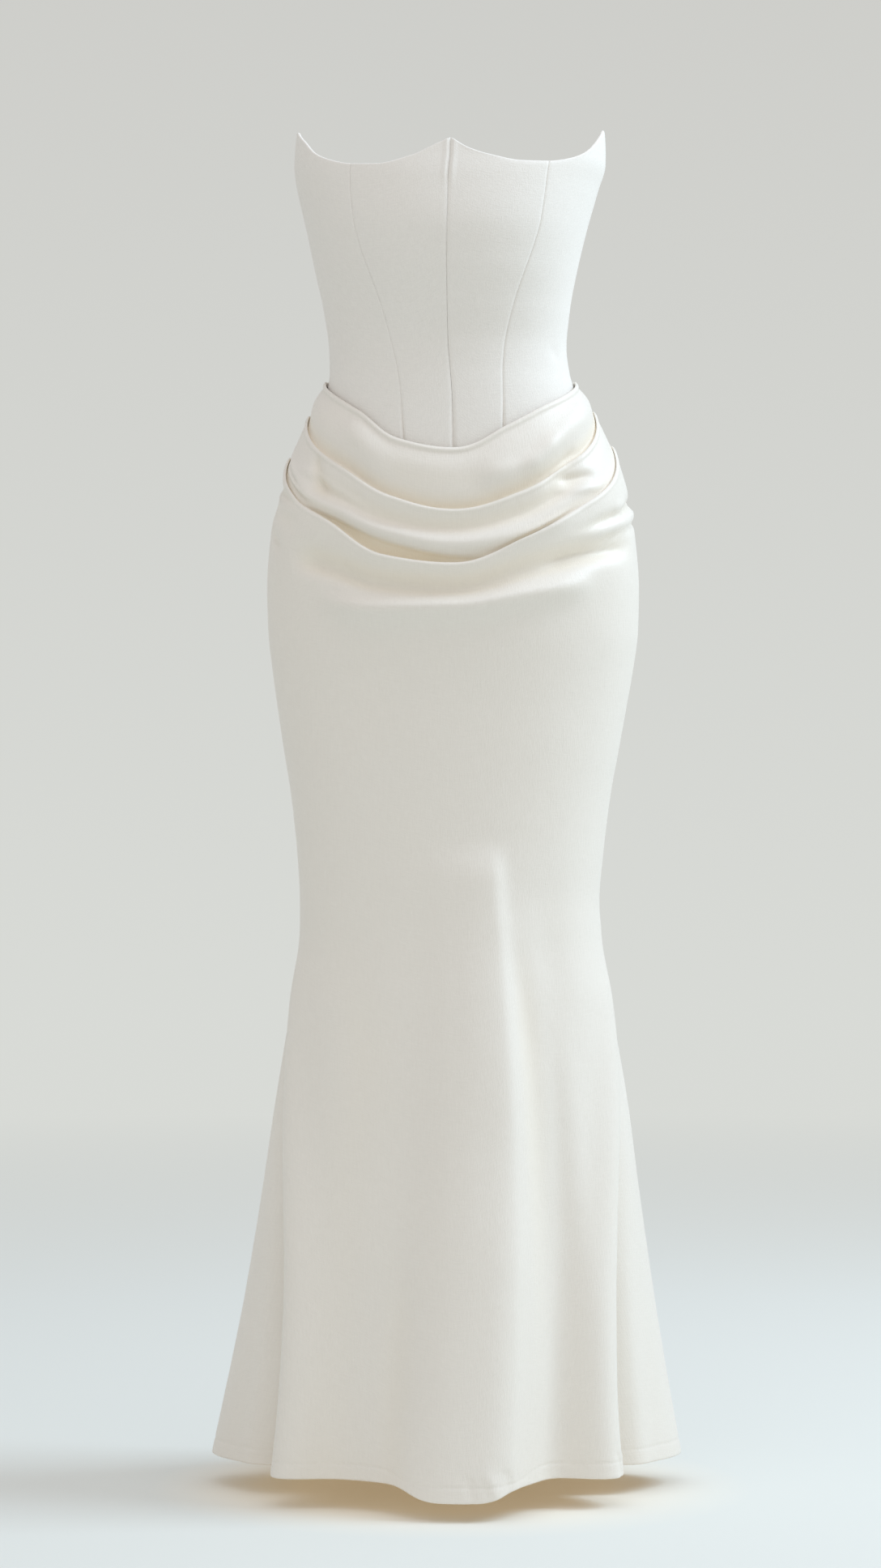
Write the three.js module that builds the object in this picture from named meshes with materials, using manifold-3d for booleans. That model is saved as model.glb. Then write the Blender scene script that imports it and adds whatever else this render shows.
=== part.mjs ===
// A strapless maxi dress: a panelled bodice, a front skirt folded into a hip drape, two back skirt
// panels that flare below the knee, and a concealed zip in the centre back.
// Millimetres, Z up. The front faces -Y, and the wearer's left is +X. The origin is on the axis of the
// body at the waist. A turn is an angle round the body in degrees: 0 at the centre front, 90 at the
// wearer's left side, -90 at the right side, 180 at the centre back.
import * as THREE from 'three';
import { mergeVertices } from 'three/addons/utils/BufferGeometryUtils.js';
import Module from 'manifold-3d';

const wasm = await Module();
wasm.setup();

// Driving sizes
const BODICE_WALL = 2.0;
const SKIRT_WALL = 1.2;
const TAPE_WALL = 1.0;
const SEAM_GAP = 0.3;
const WAIST_GAP = 0.6;
const FRONT_COLUMNS = 28;
const SQUARENESS = 2.2;
const HEM_Z = -1028;
const SIDE_SEAM_TURN = 97;
const DRAPE_END_Z = -330;
const KNEE_Z = -515;
const LAYER_STEP = 1.9;
const LIP_ROUND = 2.4;
const SEAM_EASE = 1.4;
const TURN_EASE = 1.1;

// Rows and columns of the panels' grids
const BODICE_BACK_ROWS = 12;
const FADE_ROWS = 9;
const LOWER_ROWS = 14;
const BACK_UPPER_ROWS = 10;
const BACK_COLUMNS = 14;
const TAPE_COLUMNS = 2;
// Step in degrees over which the way across a panel's edge is taken
const EDGE_STEP = 0.5;

// The body that the dress is cut for, a row for each level: half width, depth to the front and the
// back, and how far its middle stands to the wearer's left
const SECTIONS = [
  { z: -1045, half: 190, front: 152, back: 187, shift: -4 },
  { z: -980, half: 182, front: 145, back: 176, shift: -3 },
  { z: -880, half: 171, front: 134, back: 159, shift: -1 },
  { z: -780, half: 162.5, front: 122, back: 143, shift: 0 },
  { z: -680, half: 155.5, front: 110, back: 127, shift: 1 },
  { z: -600, half: 148.5, front: 101, back: 115, shift: 0.5 },
  { z: -540, half: 140, front: 95, back: 109, shift: 0 },
  { z: -507, half: 139.5, front: 94, back: 107, shift: -1 },
  { z: -469, half: 142, front: 95, back: 108, shift: -0.5 },
  { z: -413, half: 148.5, front: 97, back: 112, shift: 0 },
  { z: -356, half: 158, front: 100, back: 118, shift: 1 },
  { z: -299, half: 166.5, front: 102.5, back: 126, shift: 2 },
  { z: -261, half: 169.5, front: 103.5, back: 130, shift: 2.5 },
  { z: -223, half: 168, front: 103, back: 131, shift: 2.5 },
  { z: -166, half: 159, front: 100, back: 122, shift: 2.5 },
  { z: -129, half: 148, front: 97, back: 114, shift: 3.5 },
  { z: -91, half: 134, front: 93, back: 103, shift: 2.5 },
  { z: -53, half: 121.5, front: 89.5, back: 92, shift: 1.5 },
  { z: -34, half: 116, front: 88, back: 86, shift: 0.5 },
  { z: -15, half: 112, front: 87, back: 80, shift: -1 },
  { z: 4, half: 111, front: 88, back: 78, shift: -2.5 },
  { z: 42, half: 115, front: 99, back: 80, shift: -3.5 },
  { z: 80, half: 122.6, front: 113, back: 86, shift: -4 },
  { z: 117, half: 131, front: 120, back: 90, shift: -3.5 },
  { z: 154, half: 140.4, front: 116, back: 88, shift: -2.5 },
  { z: 178, half: 145.3, front: 110, back: 85, shift: -0.5 },
  { z: 207, half: 145, front: 103, back: 81, shift: 0 },
  { z: 230, half: 145, front: 98, back: 78, shift: 0 },
];

// Height of the bodice's top edge at each turn, on the wearer's left and right
const TOP_EDGE = [
  { turn: 0, left: 189, right: 189 },
  { turn: 5, left: 180, right: 182 },
  { turn: 12, left: 174, right: 173 },
  { turn: 25, left: 169, right: 166 },
  { turn: 37, left: 170, right: 167.5 },
  { turn: 48, left: 174.5, right: 173 },
  { turn: 58, left: 182, right: 181 },
  { turn: 68, left: 194, right: 194 },
  { turn: 76, left: 204, right: 202 },
  { turn: 80, left: 208, right: 206 },
  { turn: 85, left: 194, right: 192 },
  { turn: 91, left: 174, right: 173 },
  { turn: 97, left: 161, right: 161 },
  { turn: 125, left: 139, right: 139 },
  { turn: 155, left: 128, right: 128 },
  { turn: 180, left: 125, right: 125 },
];

// Turn of the bodice's shaped seams at each level
const SHAPED_SEAMS = [
  { z: -110, front: 16, back: 159 },
  { z: -72, front: 19, back: 157 },
  { z: -32, front: 22, back: 154 },
  { z: 7, front: 26, back: 151 },
  { z: 40, front: 30, back: 149 },
  { z: 67, front: 34, back: 146 },
  { z: 93, front: 37.5, back: 143 },
  { z: 115, front: 39, back: 140 },
  { z: 137, front: 38.5, back: 138 },
  { z: 170, front: 37, back: 136 },
];

// Turn of the skirt's side seams at each level, which come forward below the knee
const SIDE_SEAMS = [
  { z: -1045, turn: 62 },
  { z: -980, turn: 63 },
  { z: -880, turn: 67 },
  { z: -780, turn: 75 },
  { z: -680, turn: 86 },
  { z: -600, turn: 93 },
  { z: -540, turn: 97 },
];

// The lips of the hip drape: heights at the stations, how far they stand off the body at the sides and
// in the middle, and how deep the cloth is tucked behind each
const STATIONS = [-90, -60, -40, -20, 0, 20, 40, 60, 90];
const LIPS = [
  {
    side: 3.8, middle: 6, tuck: 20, sideTuck: 18,
    heights: [-24, -42, -58, -84, -93, -72, -53, -40, -24],
  },
  {
    side: 12, middle: 14, tuck: 16, sideTuck: 9,
    heights: [-56, -90, -111, -137, -150, -134, -110, -88, -52],
  },
  {
    side: 18, middle: 18, tuck: 18, sideTuck: 9,
    heights: [-95, -138, -160, -187, -198, -176, -149, -125, -84],
  },
];

// Soft folds of the hip: heights at the stations, height of the ridge or depth of the valley, half
// breadth, and the turns between which they run
const SOFT_FOLDS = [
  {
    rise: 4.5, breadth: 9, from: -90, to: 35,
    heights: [-80, -123, -142, -168, -179, -168, -150, -128, -80],
  },
  {
    rise: -5, breadth: 11, from: -60, to: 78,
    heights: [-175, -186, -198, -216, -221, -202, -188, -180, -172],
  },
  {
    rise: 3.5, breadth: 13, from: -45, to: 52,
    heights: [-200, -218, -232, -239, -236, -225, -214, -200, -190],
  },
  {
    rise: -3, breadth: 8, from: 42, to: 95,
    heights: [-128, -150, -178, -210, -222, -210, -168, -155, -138],
  },
  {
    rise: -2.5, breadth: 8, from: -95, to: -50,
    heights: [-138, -158, -180, -205, -222, -210, -188, -172, -155],
  },
];

// Folds that grow from the knee to the hem: turn where they start and at the hem, half breadth in
// degrees, how far they stand out or in at the hem, and the height at which they start
const HEM_FOLDS = [
  { top: 14, hem: 4, breadth: 17, rise: 46, start: -450, crown: 3 },
  { top: 40, hem: 31, breadth: 8, rise: -8, start: -470, crown: 2 },
  { top: 102, hem: 97, breadth: 13, rise: 34, start: -515, crown: 2 },
  { top: -102, hem: -97, breadth: 13, rise: 34, start: -515, crown: 2 },
  { top: 118, hem: 118, breadth: 9, rise: -16, start: -560, crown: 2 },
  { top: -119, hem: -119, breadth: 9, rise: -15, start: -570, crown: 2 },
  { top: 136, hem: 137, breadth: 11, rise: 20, start: -550, crown: 2 },
  { top: -134, hem: -138, breadth: 11, rise: 22, start: -540, crown: 2 },
  { top: 156, hem: 158, breadth: 9, rise: -17, start: -590, crown: 2 },
  { top: -155, hem: -158, breadth: 9, rise: -15, start: -570, crown: 2 },
];

// Folds that run beside each side seam of the lower skirt: degrees from the seam towards the front,
// half breadth in degrees, and how far they stand out or in at the hem
const SEAM_FOLDS = [
  { before: 17, breadth: 10, rise: 25, start: -520 },
  { before: 0, breadth: 7, rise: -40, start: -530 },
];
const BACK_HEM_FOLD = { breadth: 12, rise: 20, start: -560 };
const FOLD_GROWTH = 1.15;

// The hem dips at the front, under the fold that stands out there
const HEM_DIP = { turn: 3, breadth: 16, drop: 11 };

// Open mouth of the lowest pocket of the drape, right of the centre front
const POCKET = { turn: -15, breadth: 22, depth: 5 };

// Waist seam at the back: height beside the side seams, and its fall to the centre back
const BACK_WAIST = { z: -44, fall: 14 };

// Degrees over which a soft fold comes up at each end
const FOLD_END = 16;

// How the drape's last tier eases back to the body: spacing of its rows, and how fast it comes in
const FADE = { spacing: 1.25, power: 1.55 };
const TIER_BULGES = [2, 2.5];

// How far the back stands off the body beside the drape, at the side seams
const SIDE_EASE = [
  { z: -330, out: 0.6 },
  { z: -223, out: 5 },
  { z: -160, out: 10 },
  { z: -100, out: 11.5 },
  { z: -60, out: 6 },
  { z: -44, out: 1.5 },
];
const EASE_END_TURN = 150;

// Folds pulled across the back from the side seams: height at the seam, fall to the centre back, depth
const BACK_FOLDS = [
  { z: -78, fall: 34, rise: -4, breadth: 10, reach: 56 },
  { z: -118, fall: 36, rise: -4.5, breadth: 11, reach: 62 },
  { z: -160, fall: 30, rise: -3.5, breadth: 12, reach: 50 },
];

// The zip
const ZIP_FOOT_Z = -190;
const TAPE_WIDTH_TURN = 9.5;
const ZIP = {
  neck: 1.4,
  neckHalf: 1.9,
  bodyWide: 5,
  bodyDeep: 2.6,
  bodyTall: 10,
  bodyBehind: 0.8,
  eyeRadius: 1.1,
  crownRadius: 2.1,
  belowEdge: 10,
  eyeOut: 3.4,
  barThick: 1,
  windowHalf: 1.25,
  windowTall: 3.4,
  tabHalf: 3.2,
  shoulderHalf: 2.3,
  tabLong: 22,
  parting: 1.15,
  closedBelow: 26,
  openAbove: 15,
  bodyTaper: 0.7,
  shoulderDown: 1.4,
  tapeBelowEdge: 2,
  tapeClear: 0.1,
};

const radians = THREE.MathUtils.degToRad;
const mix = THREE.MathUtils.lerp;
const smooth = (x, low, high) => THREE.MathUtils.smoothstep(x, low, high);
const bell = (x) => Math.exp(-x * x);

// Smooth curve through the rows of a table without overshoot, read where `place` has the value `at`
function readCurve(rows, place, column, at) {
  const last = rows.length - 1;
  if (at <= rows[0][place]) return rows[0][column];
  if (at >= rows[last][place]) return rows[last][column];
  let i = 0;
  while (rows[i + 1][place] < at) i += 1;
  const width = (k) => rows[k + 1][place] - rows[k][place];
  const secant = (k) => (rows[k + 1][column] - rows[k][column]) / width(k);
  const slope = (k) => {
    if (k === 0) return secant(0);
    if (k === last) return secant(last - 1);
    const before = secant(k - 1);
    const after = secant(k);
    return before * after <= 0 ? 0 : (2 * before * after) / (before + after);
  };
  const w = width(i);
  const s = (at - rows[i][place]) / w;
  const rise = rows[i + 1][column] - rows[i][column];
  const a = slope(i) * w - rise;
  const b = rise - slope(i + 1) * w;
  return mix(rows[i][column], rows[i + 1][column], s) + s * (1 - s) * (a * (1 - s) + b * s);
}

// Height of a lip or fold of the hip at a turn, from its heights at the stations
function heightAt(fold, turn) {
  const rows = STATIONS.map((station, k) => ({ station, z: fold.heights[k] }));
  return readCurve(rows, 'station', 'z', turn);
}

function topEdge(turn) {
  return readCurve(TOP_EDGE, 'turn', turn >= 0 ? 'left' : 'right', Math.abs(turn));
}

// Lower edge of the bodice: behind the drape in front, straight between the columns of the front
// skirt, and at the waist seam at the back
function bodiceFoot(turn) {
  if (Math.abs(turn) > SIDE_SEAM_TURN) {
    return BACK_WAIST.z - BACK_WAIST.fall * smooth(Math.abs(turn), SIDE_SEAM_TURN, 180);
  }
  const step = (2 * SIDE_SEAM_TURN) / FRONT_COLUMNS;
  const before = Math.floor(turn / step);
  const behindLip = (k) => heightAt(LIPS[0], k * step) - LIPS[0].tuck;
  return mix(behindLip(before), behindLip(before + 1), turn / step - before);
}

function sideSeam(z) {
  return readCurve(SIDE_SEAMS, 'z', 'turn', z);
}

function hemEdge(turn) {
  return HEM_Z - HEM_DIP.drop * Math.exp(-(((turn - HEM_DIP.turn) / HEM_DIP.breadth) ** 4));
}

// A point at a turn and a height, moved out from the body by `out`
function bodyPoint(turn, z, out) {
  const half = readCurve(SECTIONS, 'z', 'half', z);
  const s = Math.sin(radians(turn));
  const c = Math.cos(radians(turn));
  const depth = readCurve(SECTIONS, 'z', c >= 0 ? 'front' : 'back', z);
  const power = 2 / SQUARENESS;
  const x = half * Math.sign(s) * Math.abs(s) ** power;
  const y = -depth * Math.sign(c) * Math.abs(c) ** power;
  const nx = Math.sign(s) * Math.abs(s) ** (2 - power) / half;
  const ny = (-Math.sign(c) * Math.abs(c) ** (2 - power)) / depth;
  const n = Math.hypot(nx, ny);
  const shift = readCurve(SECTIONS, 'z', 'shift', z);
  return new THREE.Vector3(x + shift + (nx / n) * out, y + (ny / n) * out, z);
}

// How far the folds of the lower skirt stand out at a turn and height
function hemFolds(turn, z) {
  const grownBy = (fold) => Math.max(0, (fold.start - z) / (fold.start - HEM_Z));
  let out = 0;
  for (const fold of HEM_FOLDS) {
    const grown = grownBy(fold);
    const off = Math.abs(turn - mix(fold.top, fold.hem, grown)) / fold.breadth;
    out += fold.rise * grown ** FOLD_GROWTH * Math.exp(-(off ** fold.crown));
  }
  for (const fold of SEAM_FOLDS) {
    const off = Math.abs(turn) - (sideSeam(z) - fold.before);
    out += fold.rise * grownBy(fold) * bell(off / fold.breadth);
  }
  const back = BACK_HEM_FOLD;
  return out + back.rise * grownBy(back) * bell((180 - Math.abs(turn)) / back.breadth);
}

function softFolds(turn, z) {
  let out = 0;
  for (const fold of SOFT_FOLDS) {
    const begun = smooth(turn, fold.from, fold.from + FOLD_END);
    const ends = begun * (1 - smooth(turn, fold.to - FOLD_END, fold.to));
    if (ends > 0) out += fold.rise * ends * bell((z - heightAt(fold, turn)) / fold.breadth);
  }
  return out;
}

const middleShare = (turn) => Math.cos(radians(Math.min(90, Math.abs(turn)))) ** 2;
const lipOut = (lip, turn) => mix(lip.side, lip.middle, middleShare(turn));
const lipTuck = (lip, turn) => mix(lip.sideTuck, lip.tuck, middleShare(turn));

// Rows that lead from a tier of the drape down behind a lip, up again and over its edge.
// The layers are one layer step apart, so that the wall never meets itself.
function tuckRows(lip, turn, pocket) {
  const z = heightAt(lip, turn);
  const out = lipOut(lip, turn);
  const foot = z - lipTuck(lip, turn);
  return [
    { z: mix(z, foot, 0.45), out: out - 2 * LAYER_STEP - pocket * 0.6 },
    { z: foot + LIP_ROUND, out: out - 2 * LAYER_STEP },
    { z: foot, out: out - 1.5 * LAYER_STEP },
    { z: foot + LIP_ROUND, out: out - LAYER_STEP },
    { z: z - LIP_ROUND, out: out - LAYER_STEP },
    { z, out: out - LAYER_STEP / 2 },
    { z: z - LIP_ROUND, out },
  ];
}

// Rows of one tier between two lips, bulging a little, with its soft folds
function tierRows(from, to, bulge, steps) {
  const rows = [];
  for (let k = 1; k <= steps; k += 1) {
    const s = k / steps;
    const out = mix(from.out, to.out, s) + bulge * Math.sin(Math.PI * s);
    rows.push({ z: mix(from.z, to.z, s), out, soft: 1 });
  }
  return rows;
}

const pocketDepth = (turn) => POCKET.depth * bell((turn - POCKET.turn) / POCKET.breadth);

// The turn of the cloth from the seam under the bodice to the layer that rises in front of it
const WAIST_ROLL = [
  { down: 3.2, out: 0.2 },
  { down: 4.8, out: 1.6 },
  { down: 2.6, out: 3 },
];

// One column of the front skirt: from the seam under the bodice up behind the first lip, over it, down
// through the tiers and on to the hem
function frontColumn(turnOf) {
  const turn = turnOf(0);
  const foot = bodiceFoot(turn);
  const middle = -BODICE_WALL / 2;
  const [upper, second, third] = LIPS;
  const upperZ = heightAt(upper, turn);
  const upperOut = lipOut(upper, turn);
  const rows = [
    { z: foot - WAIST_GAP, out: middle },
    ...WAIST_ROLL.map((step) => ({ z: foot - step.down, out: middle + step.out })),
    { z: mix(foot, upperZ, 0.5), out: upperOut - LAYER_STEP },
    { z: upperZ - LIP_ROUND, out: upperOut - LAYER_STEP },
    { z: upperZ, out: upperOut - LAYER_STEP / 2 },
    { z: upperZ - LIP_ROUND, out: upperOut },
  ];
  const tuckedBehind = (lip, pocket) => ({
    z: heightAt(lip, turn),
    out: lipOut(lip, turn) - 2 * LAYER_STEP - pocket,
  });
  rows.push(...tierRows(rows.at(-1), tuckedBehind(second, 0), TIER_BULGES[0], 4));
  rows.push(...tuckRows(second, turn, 0));
  const pocket = pocketDepth(turn);
  rows.push(...tierRows(rows.at(-1), tuckedBehind(third, pocket), TIER_BULGES[1], 5));
  rows.push(...tuckRows(third, turn, pocket));
  const start = rows.at(-1);
  for (let k = 1; k <= FADE_ROWS; k += 1) {
    const s = (k / FADE_ROWS) ** FADE.spacing;
    rows.push({ z: mix(start.z, DRAPE_END_Z, s), out: start.out * (1 - s) ** FADE.power, soft: 1 });
  }
  const hem = hemEdge(turn);
  for (let k = 1; k <= LOWER_ROWS; k += 1) {
    rows.push({ z: mix(DRAPE_END_Z, hem, k / LOWER_ROWS), out: 0 });
  }
  return rows.map((row) => {
    const at = turnOf(row.z);
    const soft = row.soft ? softFolds(at, row.z) : 0;
    return bodyPoint(at, row.z, row.out + soft + hemFolds(at, row.z));
  });
}

// A closed wall of one thickness, about a grid of points in the middle of the cloth. Rows run down and
// columns run with the turn. `edges` gives the way across at the first and last column, where a
// neighbour carries the same surface on.
function wall(grid, thickness, edges) {
  const rows = grid.length;
  const columns = grid[0].length;
  const acrossAt = (i, j) => {
    if (edges && j === 0) return edges.first[i];
    if (edges && j === columns - 1) return edges.last[i];
    return grid[i][Math.min(j + 1, columns - 1)].clone().sub(grid[i][Math.max(j - 1, 0)]);
  };
  const positions = [];
  for (const side of [0.5, -0.5]) {
    for (let i = 0; i < rows; i += 1) {
      for (let j = 0; j < columns; j += 1) {
        const down = grid[Math.min(i + 1, rows - 1)][j].clone().sub(grid[Math.max(i - 1, 0)][j]);
        const normal = down.cross(acrossAt(i, j)).normalize();
        positions.push(...grid[i][j].clone().addScaledVector(normal, side * thickness));
      }
    }
  }
  const outer = (i, j) => i * columns + j;
  const inner = (i, j) => (rows + i) * columns + j;
  const faces = [];
  for (let i = 0; i < rows - 1; i += 1) {
    for (let j = 0; j < columns - 1; j += 1) {
      faces.push(outer(i, j), outer(i + 1, j), outer(i, j + 1));
      faces.push(outer(i, j + 1), outer(i + 1, j), outer(i + 1, j + 1));
      faces.push(inner(i, j), inner(i, j + 1), inner(i + 1, j));
      faces.push(inner(i, j + 1), inner(i + 1, j + 1), inner(i + 1, j));
    }
  }
  const rim = [];
  for (let i = 0; i < rows - 1; i += 1) rim.push([i, 0]);
  for (let j = 0; j < columns - 1; j += 1) rim.push([rows - 1, j]);
  for (let i = rows - 1; i > 0; i -= 1) rim.push([i, columns - 1]);
  for (let j = columns - 1; j > 0; j -= 1) rim.push([0, j]);
  rim.forEach((p, k) => {
    const q = rim[(k + 1) % rim.length];
    faces.push(outer(...q), outer(...p), inner(...p));
    faces.push(outer(...q), inner(...p), inner(...q));
  });
  const geometry = new THREE.BufferGeometry();
  geometry.setAttribute('position', new THREE.Float32BufferAttribute(positions, 3));
  geometry.setIndex(faces);
  geometry.computeVertexNormals();
  return geometry;
}

// A bodice panel between two seams, given as turns at a height. A seam's turn and the height of the
// edges depend on each other, so both are worked out by turns.
function bodiceGrid(startSeam, endSeam, columns, rows) {
  const grid = [];
  for (let i = 0; i <= rows; i += 1) {
    const line = [];
    for (let j = 0; j <= columns; j += 1) {
      let z = 0;
      let turn = 0;
      for (let pass = 0; pass < 12; pass += 1) {
        turn = mix(startSeam(z), endSeam(z), j / columns);
        z = mix(topEdge(turn), bodiceFoot(turn), i / rows);
      }
      line.push(bodyPoint(turn, z, -BODICE_WALL / 2));
    }
    grid.push(line);
  }
  return grid;
}

// A width along the cloth as a turn at the front, side or back of the body, a little more than a
// circle of the body's half width would give
function widthAsTurn(width, z) {
  return THREE.MathUtils.radToDeg(width / readCurve(SECTIONS, 'z', 'half', z)) * TURN_EASE;
}
const halfGap = (z) => widthAsTurn(SEAM_GAP / 2, z);
const frontSeam = (z) => readCurve(SHAPED_SEAMS, 'z', 'front', z);
const backSeam = (z) => readCurve(SHAPED_SEAMS, 'z', 'back', z);

// The centre back parts round the zip's slider at the top edge
function zipParting(z) {
  const opened = smooth(z, topEdge(180) - ZIP.closedBelow, topEdge(180) - ZIP.openAbove);
  return widthAsTurn(mix(SEAM_GAP / 2, ZIP.parting, opened), z);
}

const crepe = { color: 0xe9e7e0, roughness: 0.8, metalness: 0 };
const satin = { color: 0xefece4, roughness: 0.45, metalness: 0 };
const tape = { color: 0xe4e1d8, roughness: 0.85, metalness: 0 };
const zinc = { color: 0xdedcd6, roughness: 0.4, metalness: 0.2 };

const dress = new THREE.Group();
function add(name, geometry, finish) {
  const mesh = new THREE.Mesh(geometry, new THREE.MeshStandardMaterial(finish));
  mesh.name = name;
  dress.add(mesh);
}

// Bodice: four panels on each side, mirrored from the wearer's left to the right
const BODICE_PANELS = [
  {
    name: 'bodice_front',
    from: (z) => halfGap(z),
    to: (z) => frontSeam(z) - halfGap(z),
    columns: 7,
    rows: 12,
  },
  {
    name: 'bodice_side_front',
    from: (z) => frontSeam(z) + halfGap(z),
    to: (z) => SIDE_SEAM_TURN - halfGap(z),
    columns: 12,
    rows: 12,
  },
  {
    name: 'bodice_side_back',
    from: (z) => SIDE_SEAM_TURN + halfGap(z),
    to: (z) => backSeam(z) - halfGap(z),
    columns: 6,
    rows: 9,
  },
  {
    name: 'bodice_back',
    from: (z) => backSeam(z) + halfGap(z),
    to: (z) => 180 - zipParting(z),
    columns: 5,
    rows: BODICE_BACK_ROWS,
  },
];
for (const panel of BODICE_PANELS) {
  const left = bodiceGrid(panel.from, panel.to, panel.columns, panel.rows);
  const right = bodiceGrid((z) => -panel.to(z), (z) => -panel.from(z), panel.columns, panel.rows);
  add(`${panel.name}_left`, wall(left, BODICE_WALL), crepe);
  add(`${panel.name}_right`, wall(right, BODICE_WALL), crepe);
}

// Front skirt with the hip drape, in one piece
const frontTurn = (share, shift) => (z) => share * (sideSeam(z) - SEAM_EASE * halfGap(z)) + shift;
const frontColumns = [];
for (let j = 0; j <= FRONT_COLUMNS; j += 1) {
  frontColumns.push(frontColumn(frontTurn((2 * j) / FRONT_COLUMNS - 1, 0)));
}
function frontAcross(share) {
  const after = frontColumn(frontTurn(share, EDGE_STEP));
  const before = frontColumn(frontTurn(share, -EDGE_STEP));
  return after.map((point, i) => point.clone().sub(before[i]));
}
const frontGrid = frontColumns[0].map((_, i) => frontColumns.map((column) => column[i]));
add('skirt_front', wall(frontGrid, SKIRT_WALL, { first: frontAcross(-1), last: frontAcross(1) }), satin);

// The back skirt panels meet the drape at the side seams and ease back to the body
function backEase(turn, z) {
  const beside = readCurve(SIDE_EASE, 'z', 'out', z);
  return beside * (1 - smooth(Math.abs(turn), SIDE_SEAM_TURN, EASE_END_TURN)) - SKIRT_WALL / 2;
}

function backFolds(turn, z) {
  const past = Math.abs(turn) - SIDE_SEAM_TURN;
  let out = 0;
  for (const fold of BACK_FOLDS) {
    const share = THREE.MathUtils.clamp(past / fold.reach, 0, 1);
    const line = fold.z - fold.fall * share * (2 - share);
    out += fold.rise * (1 - smooth(share, 0.35, 1)) * bell((z - line) / fold.breadth);
  }
  return out;
}

function backPoint(side, row, share, shift) {
  let z = HEM_Z / 2;
  let turn = 0;
  for (let pass = 0; pass < 12; pass += 1) {
    const seam = Math.min(sideSeam(z), SIDE_SEAM_TURN) + SEAM_EASE * halfGap(z);
    turn = mix(seam, 180 - halfGap(z), share);
    const lower = (row - BACK_UPPER_ROWS) / LOWER_ROWS;
    const waist = bodiceFoot(Math.max(turn, SIDE_SEAM_TURN + 0.01)) - SEAM_GAP;
    z = lower >= 0 ? mix(DRAPE_END_Z, hemEdge(side * turn), lower)
      : mix(waist, DRAPE_END_Z, row / BACK_UPPER_ROWS);
  }
  turn += shift * side;
  const easing = 1 - smooth(-z, -DRAPE_END_Z, -KNEE_Z);
  const out = backEase(turn, z) * easing + backFolds(turn, z) + hemFolds(side * turn, z);
  return bodyPoint(side * turn, z, out);
}

function backPanel(side) {
  const grid = [];
  const seam = [];
  const centre = [];
  const across = (row, share) => {
    const before = backPoint(side, row, share, -EDGE_STEP);
    return backPoint(side, row, share, EDGE_STEP).sub(before);
  };
  for (let row = 0; row <= BACK_UPPER_ROWS + LOWER_ROWS; row += 1) {
    const line = [];
    for (let j = 0; j <= BACK_COLUMNS; j += 1) line.push(backPoint(side, row, j / BACK_COLUMNS, 0));
    grid.push(side > 0 ? line : line.reverse());
    seam.push(across(row, 0));
    centre.push(across(row, 1));
  }
  const edges = side > 0 ? { first: seam, last: centre } : { first: centre, last: seam };
  return wall(grid, SKIRT_WALL, edges);
}
add('skirt_back_left', backPanel(1), satin);
add('skirt_back_right', backPanel(-1), satin);

// Zip tapes inside the centre back, with their rows level with the rows of the panels they lie on
function tapeLevels() {
  const foot = bodiceFoot(180);
  const levels = [topEdge(180) - ZIP.tapeBelowEdge];
  for (let i = 1; i <= BODICE_BACK_ROWS; i += 1) levels.push(mix(topEdge(180), foot, i / BODICE_BACK_ROWS));
  for (let i = 1; levels.at(-1) > ZIP_FOOT_Z; i += 1) {
    levels.push(mix(foot - SEAM_GAP, DRAPE_END_Z, i / BACK_UPPER_ROWS));
  }
  return levels;
}
function tapeGrid(side) {
  const inside = -BODICE_WALL - SEAM_GAP - ZIP.tapeClear - TAPE_WALL / 2;
  return tapeLevels().map((z) => {
    const line = [];
    for (let j = 0; j <= TAPE_COLUMNS; j += 1) {
      const turn = 180 - zipParting(z) - TAPE_WIDTH_TURN * (1 - j / TAPE_COLUMNS);
      line.push(bodyPoint(side * turn, z, inside));
    }
    return side > 0 ? line : line.reverse();
  });
}
add('zip_tape_left', wall(tapeGrid(1), TAPE_WALL), tape);
add('zip_tape_right', wall(tapeGrid(-1), TAPE_WALL), tape);

// Zip slider: a body inside the tapes and a thin neck with an eye through the parted edges
function toSolid(geometry) {
  const bare = geometry.clone();
  bare.deleteAttribute('normal');
  bare.deleteAttribute('uv');
  const merged = mergeVertices(bare, 1e-4);
  const mesh = { numProp: 3, vertProperties: merged.attributes.position.array };
  return new wasm.Manifold(new wasm.Mesh({ ...mesh, triVerts: new Uint32Array(merged.index.array) }));
}

function fromSolid(solid) {
  const mesh = solid.getMesh();
  const geometry = new THREE.BufferGeometry();
  geometry.setAttribute('position', new THREE.Float32BufferAttribute(mesh.vertProperties, 3));
  geometry.setIndex([...mesh.triVerts]);
  geometry.computeVertexNormals();
  return geometry;
}

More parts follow.
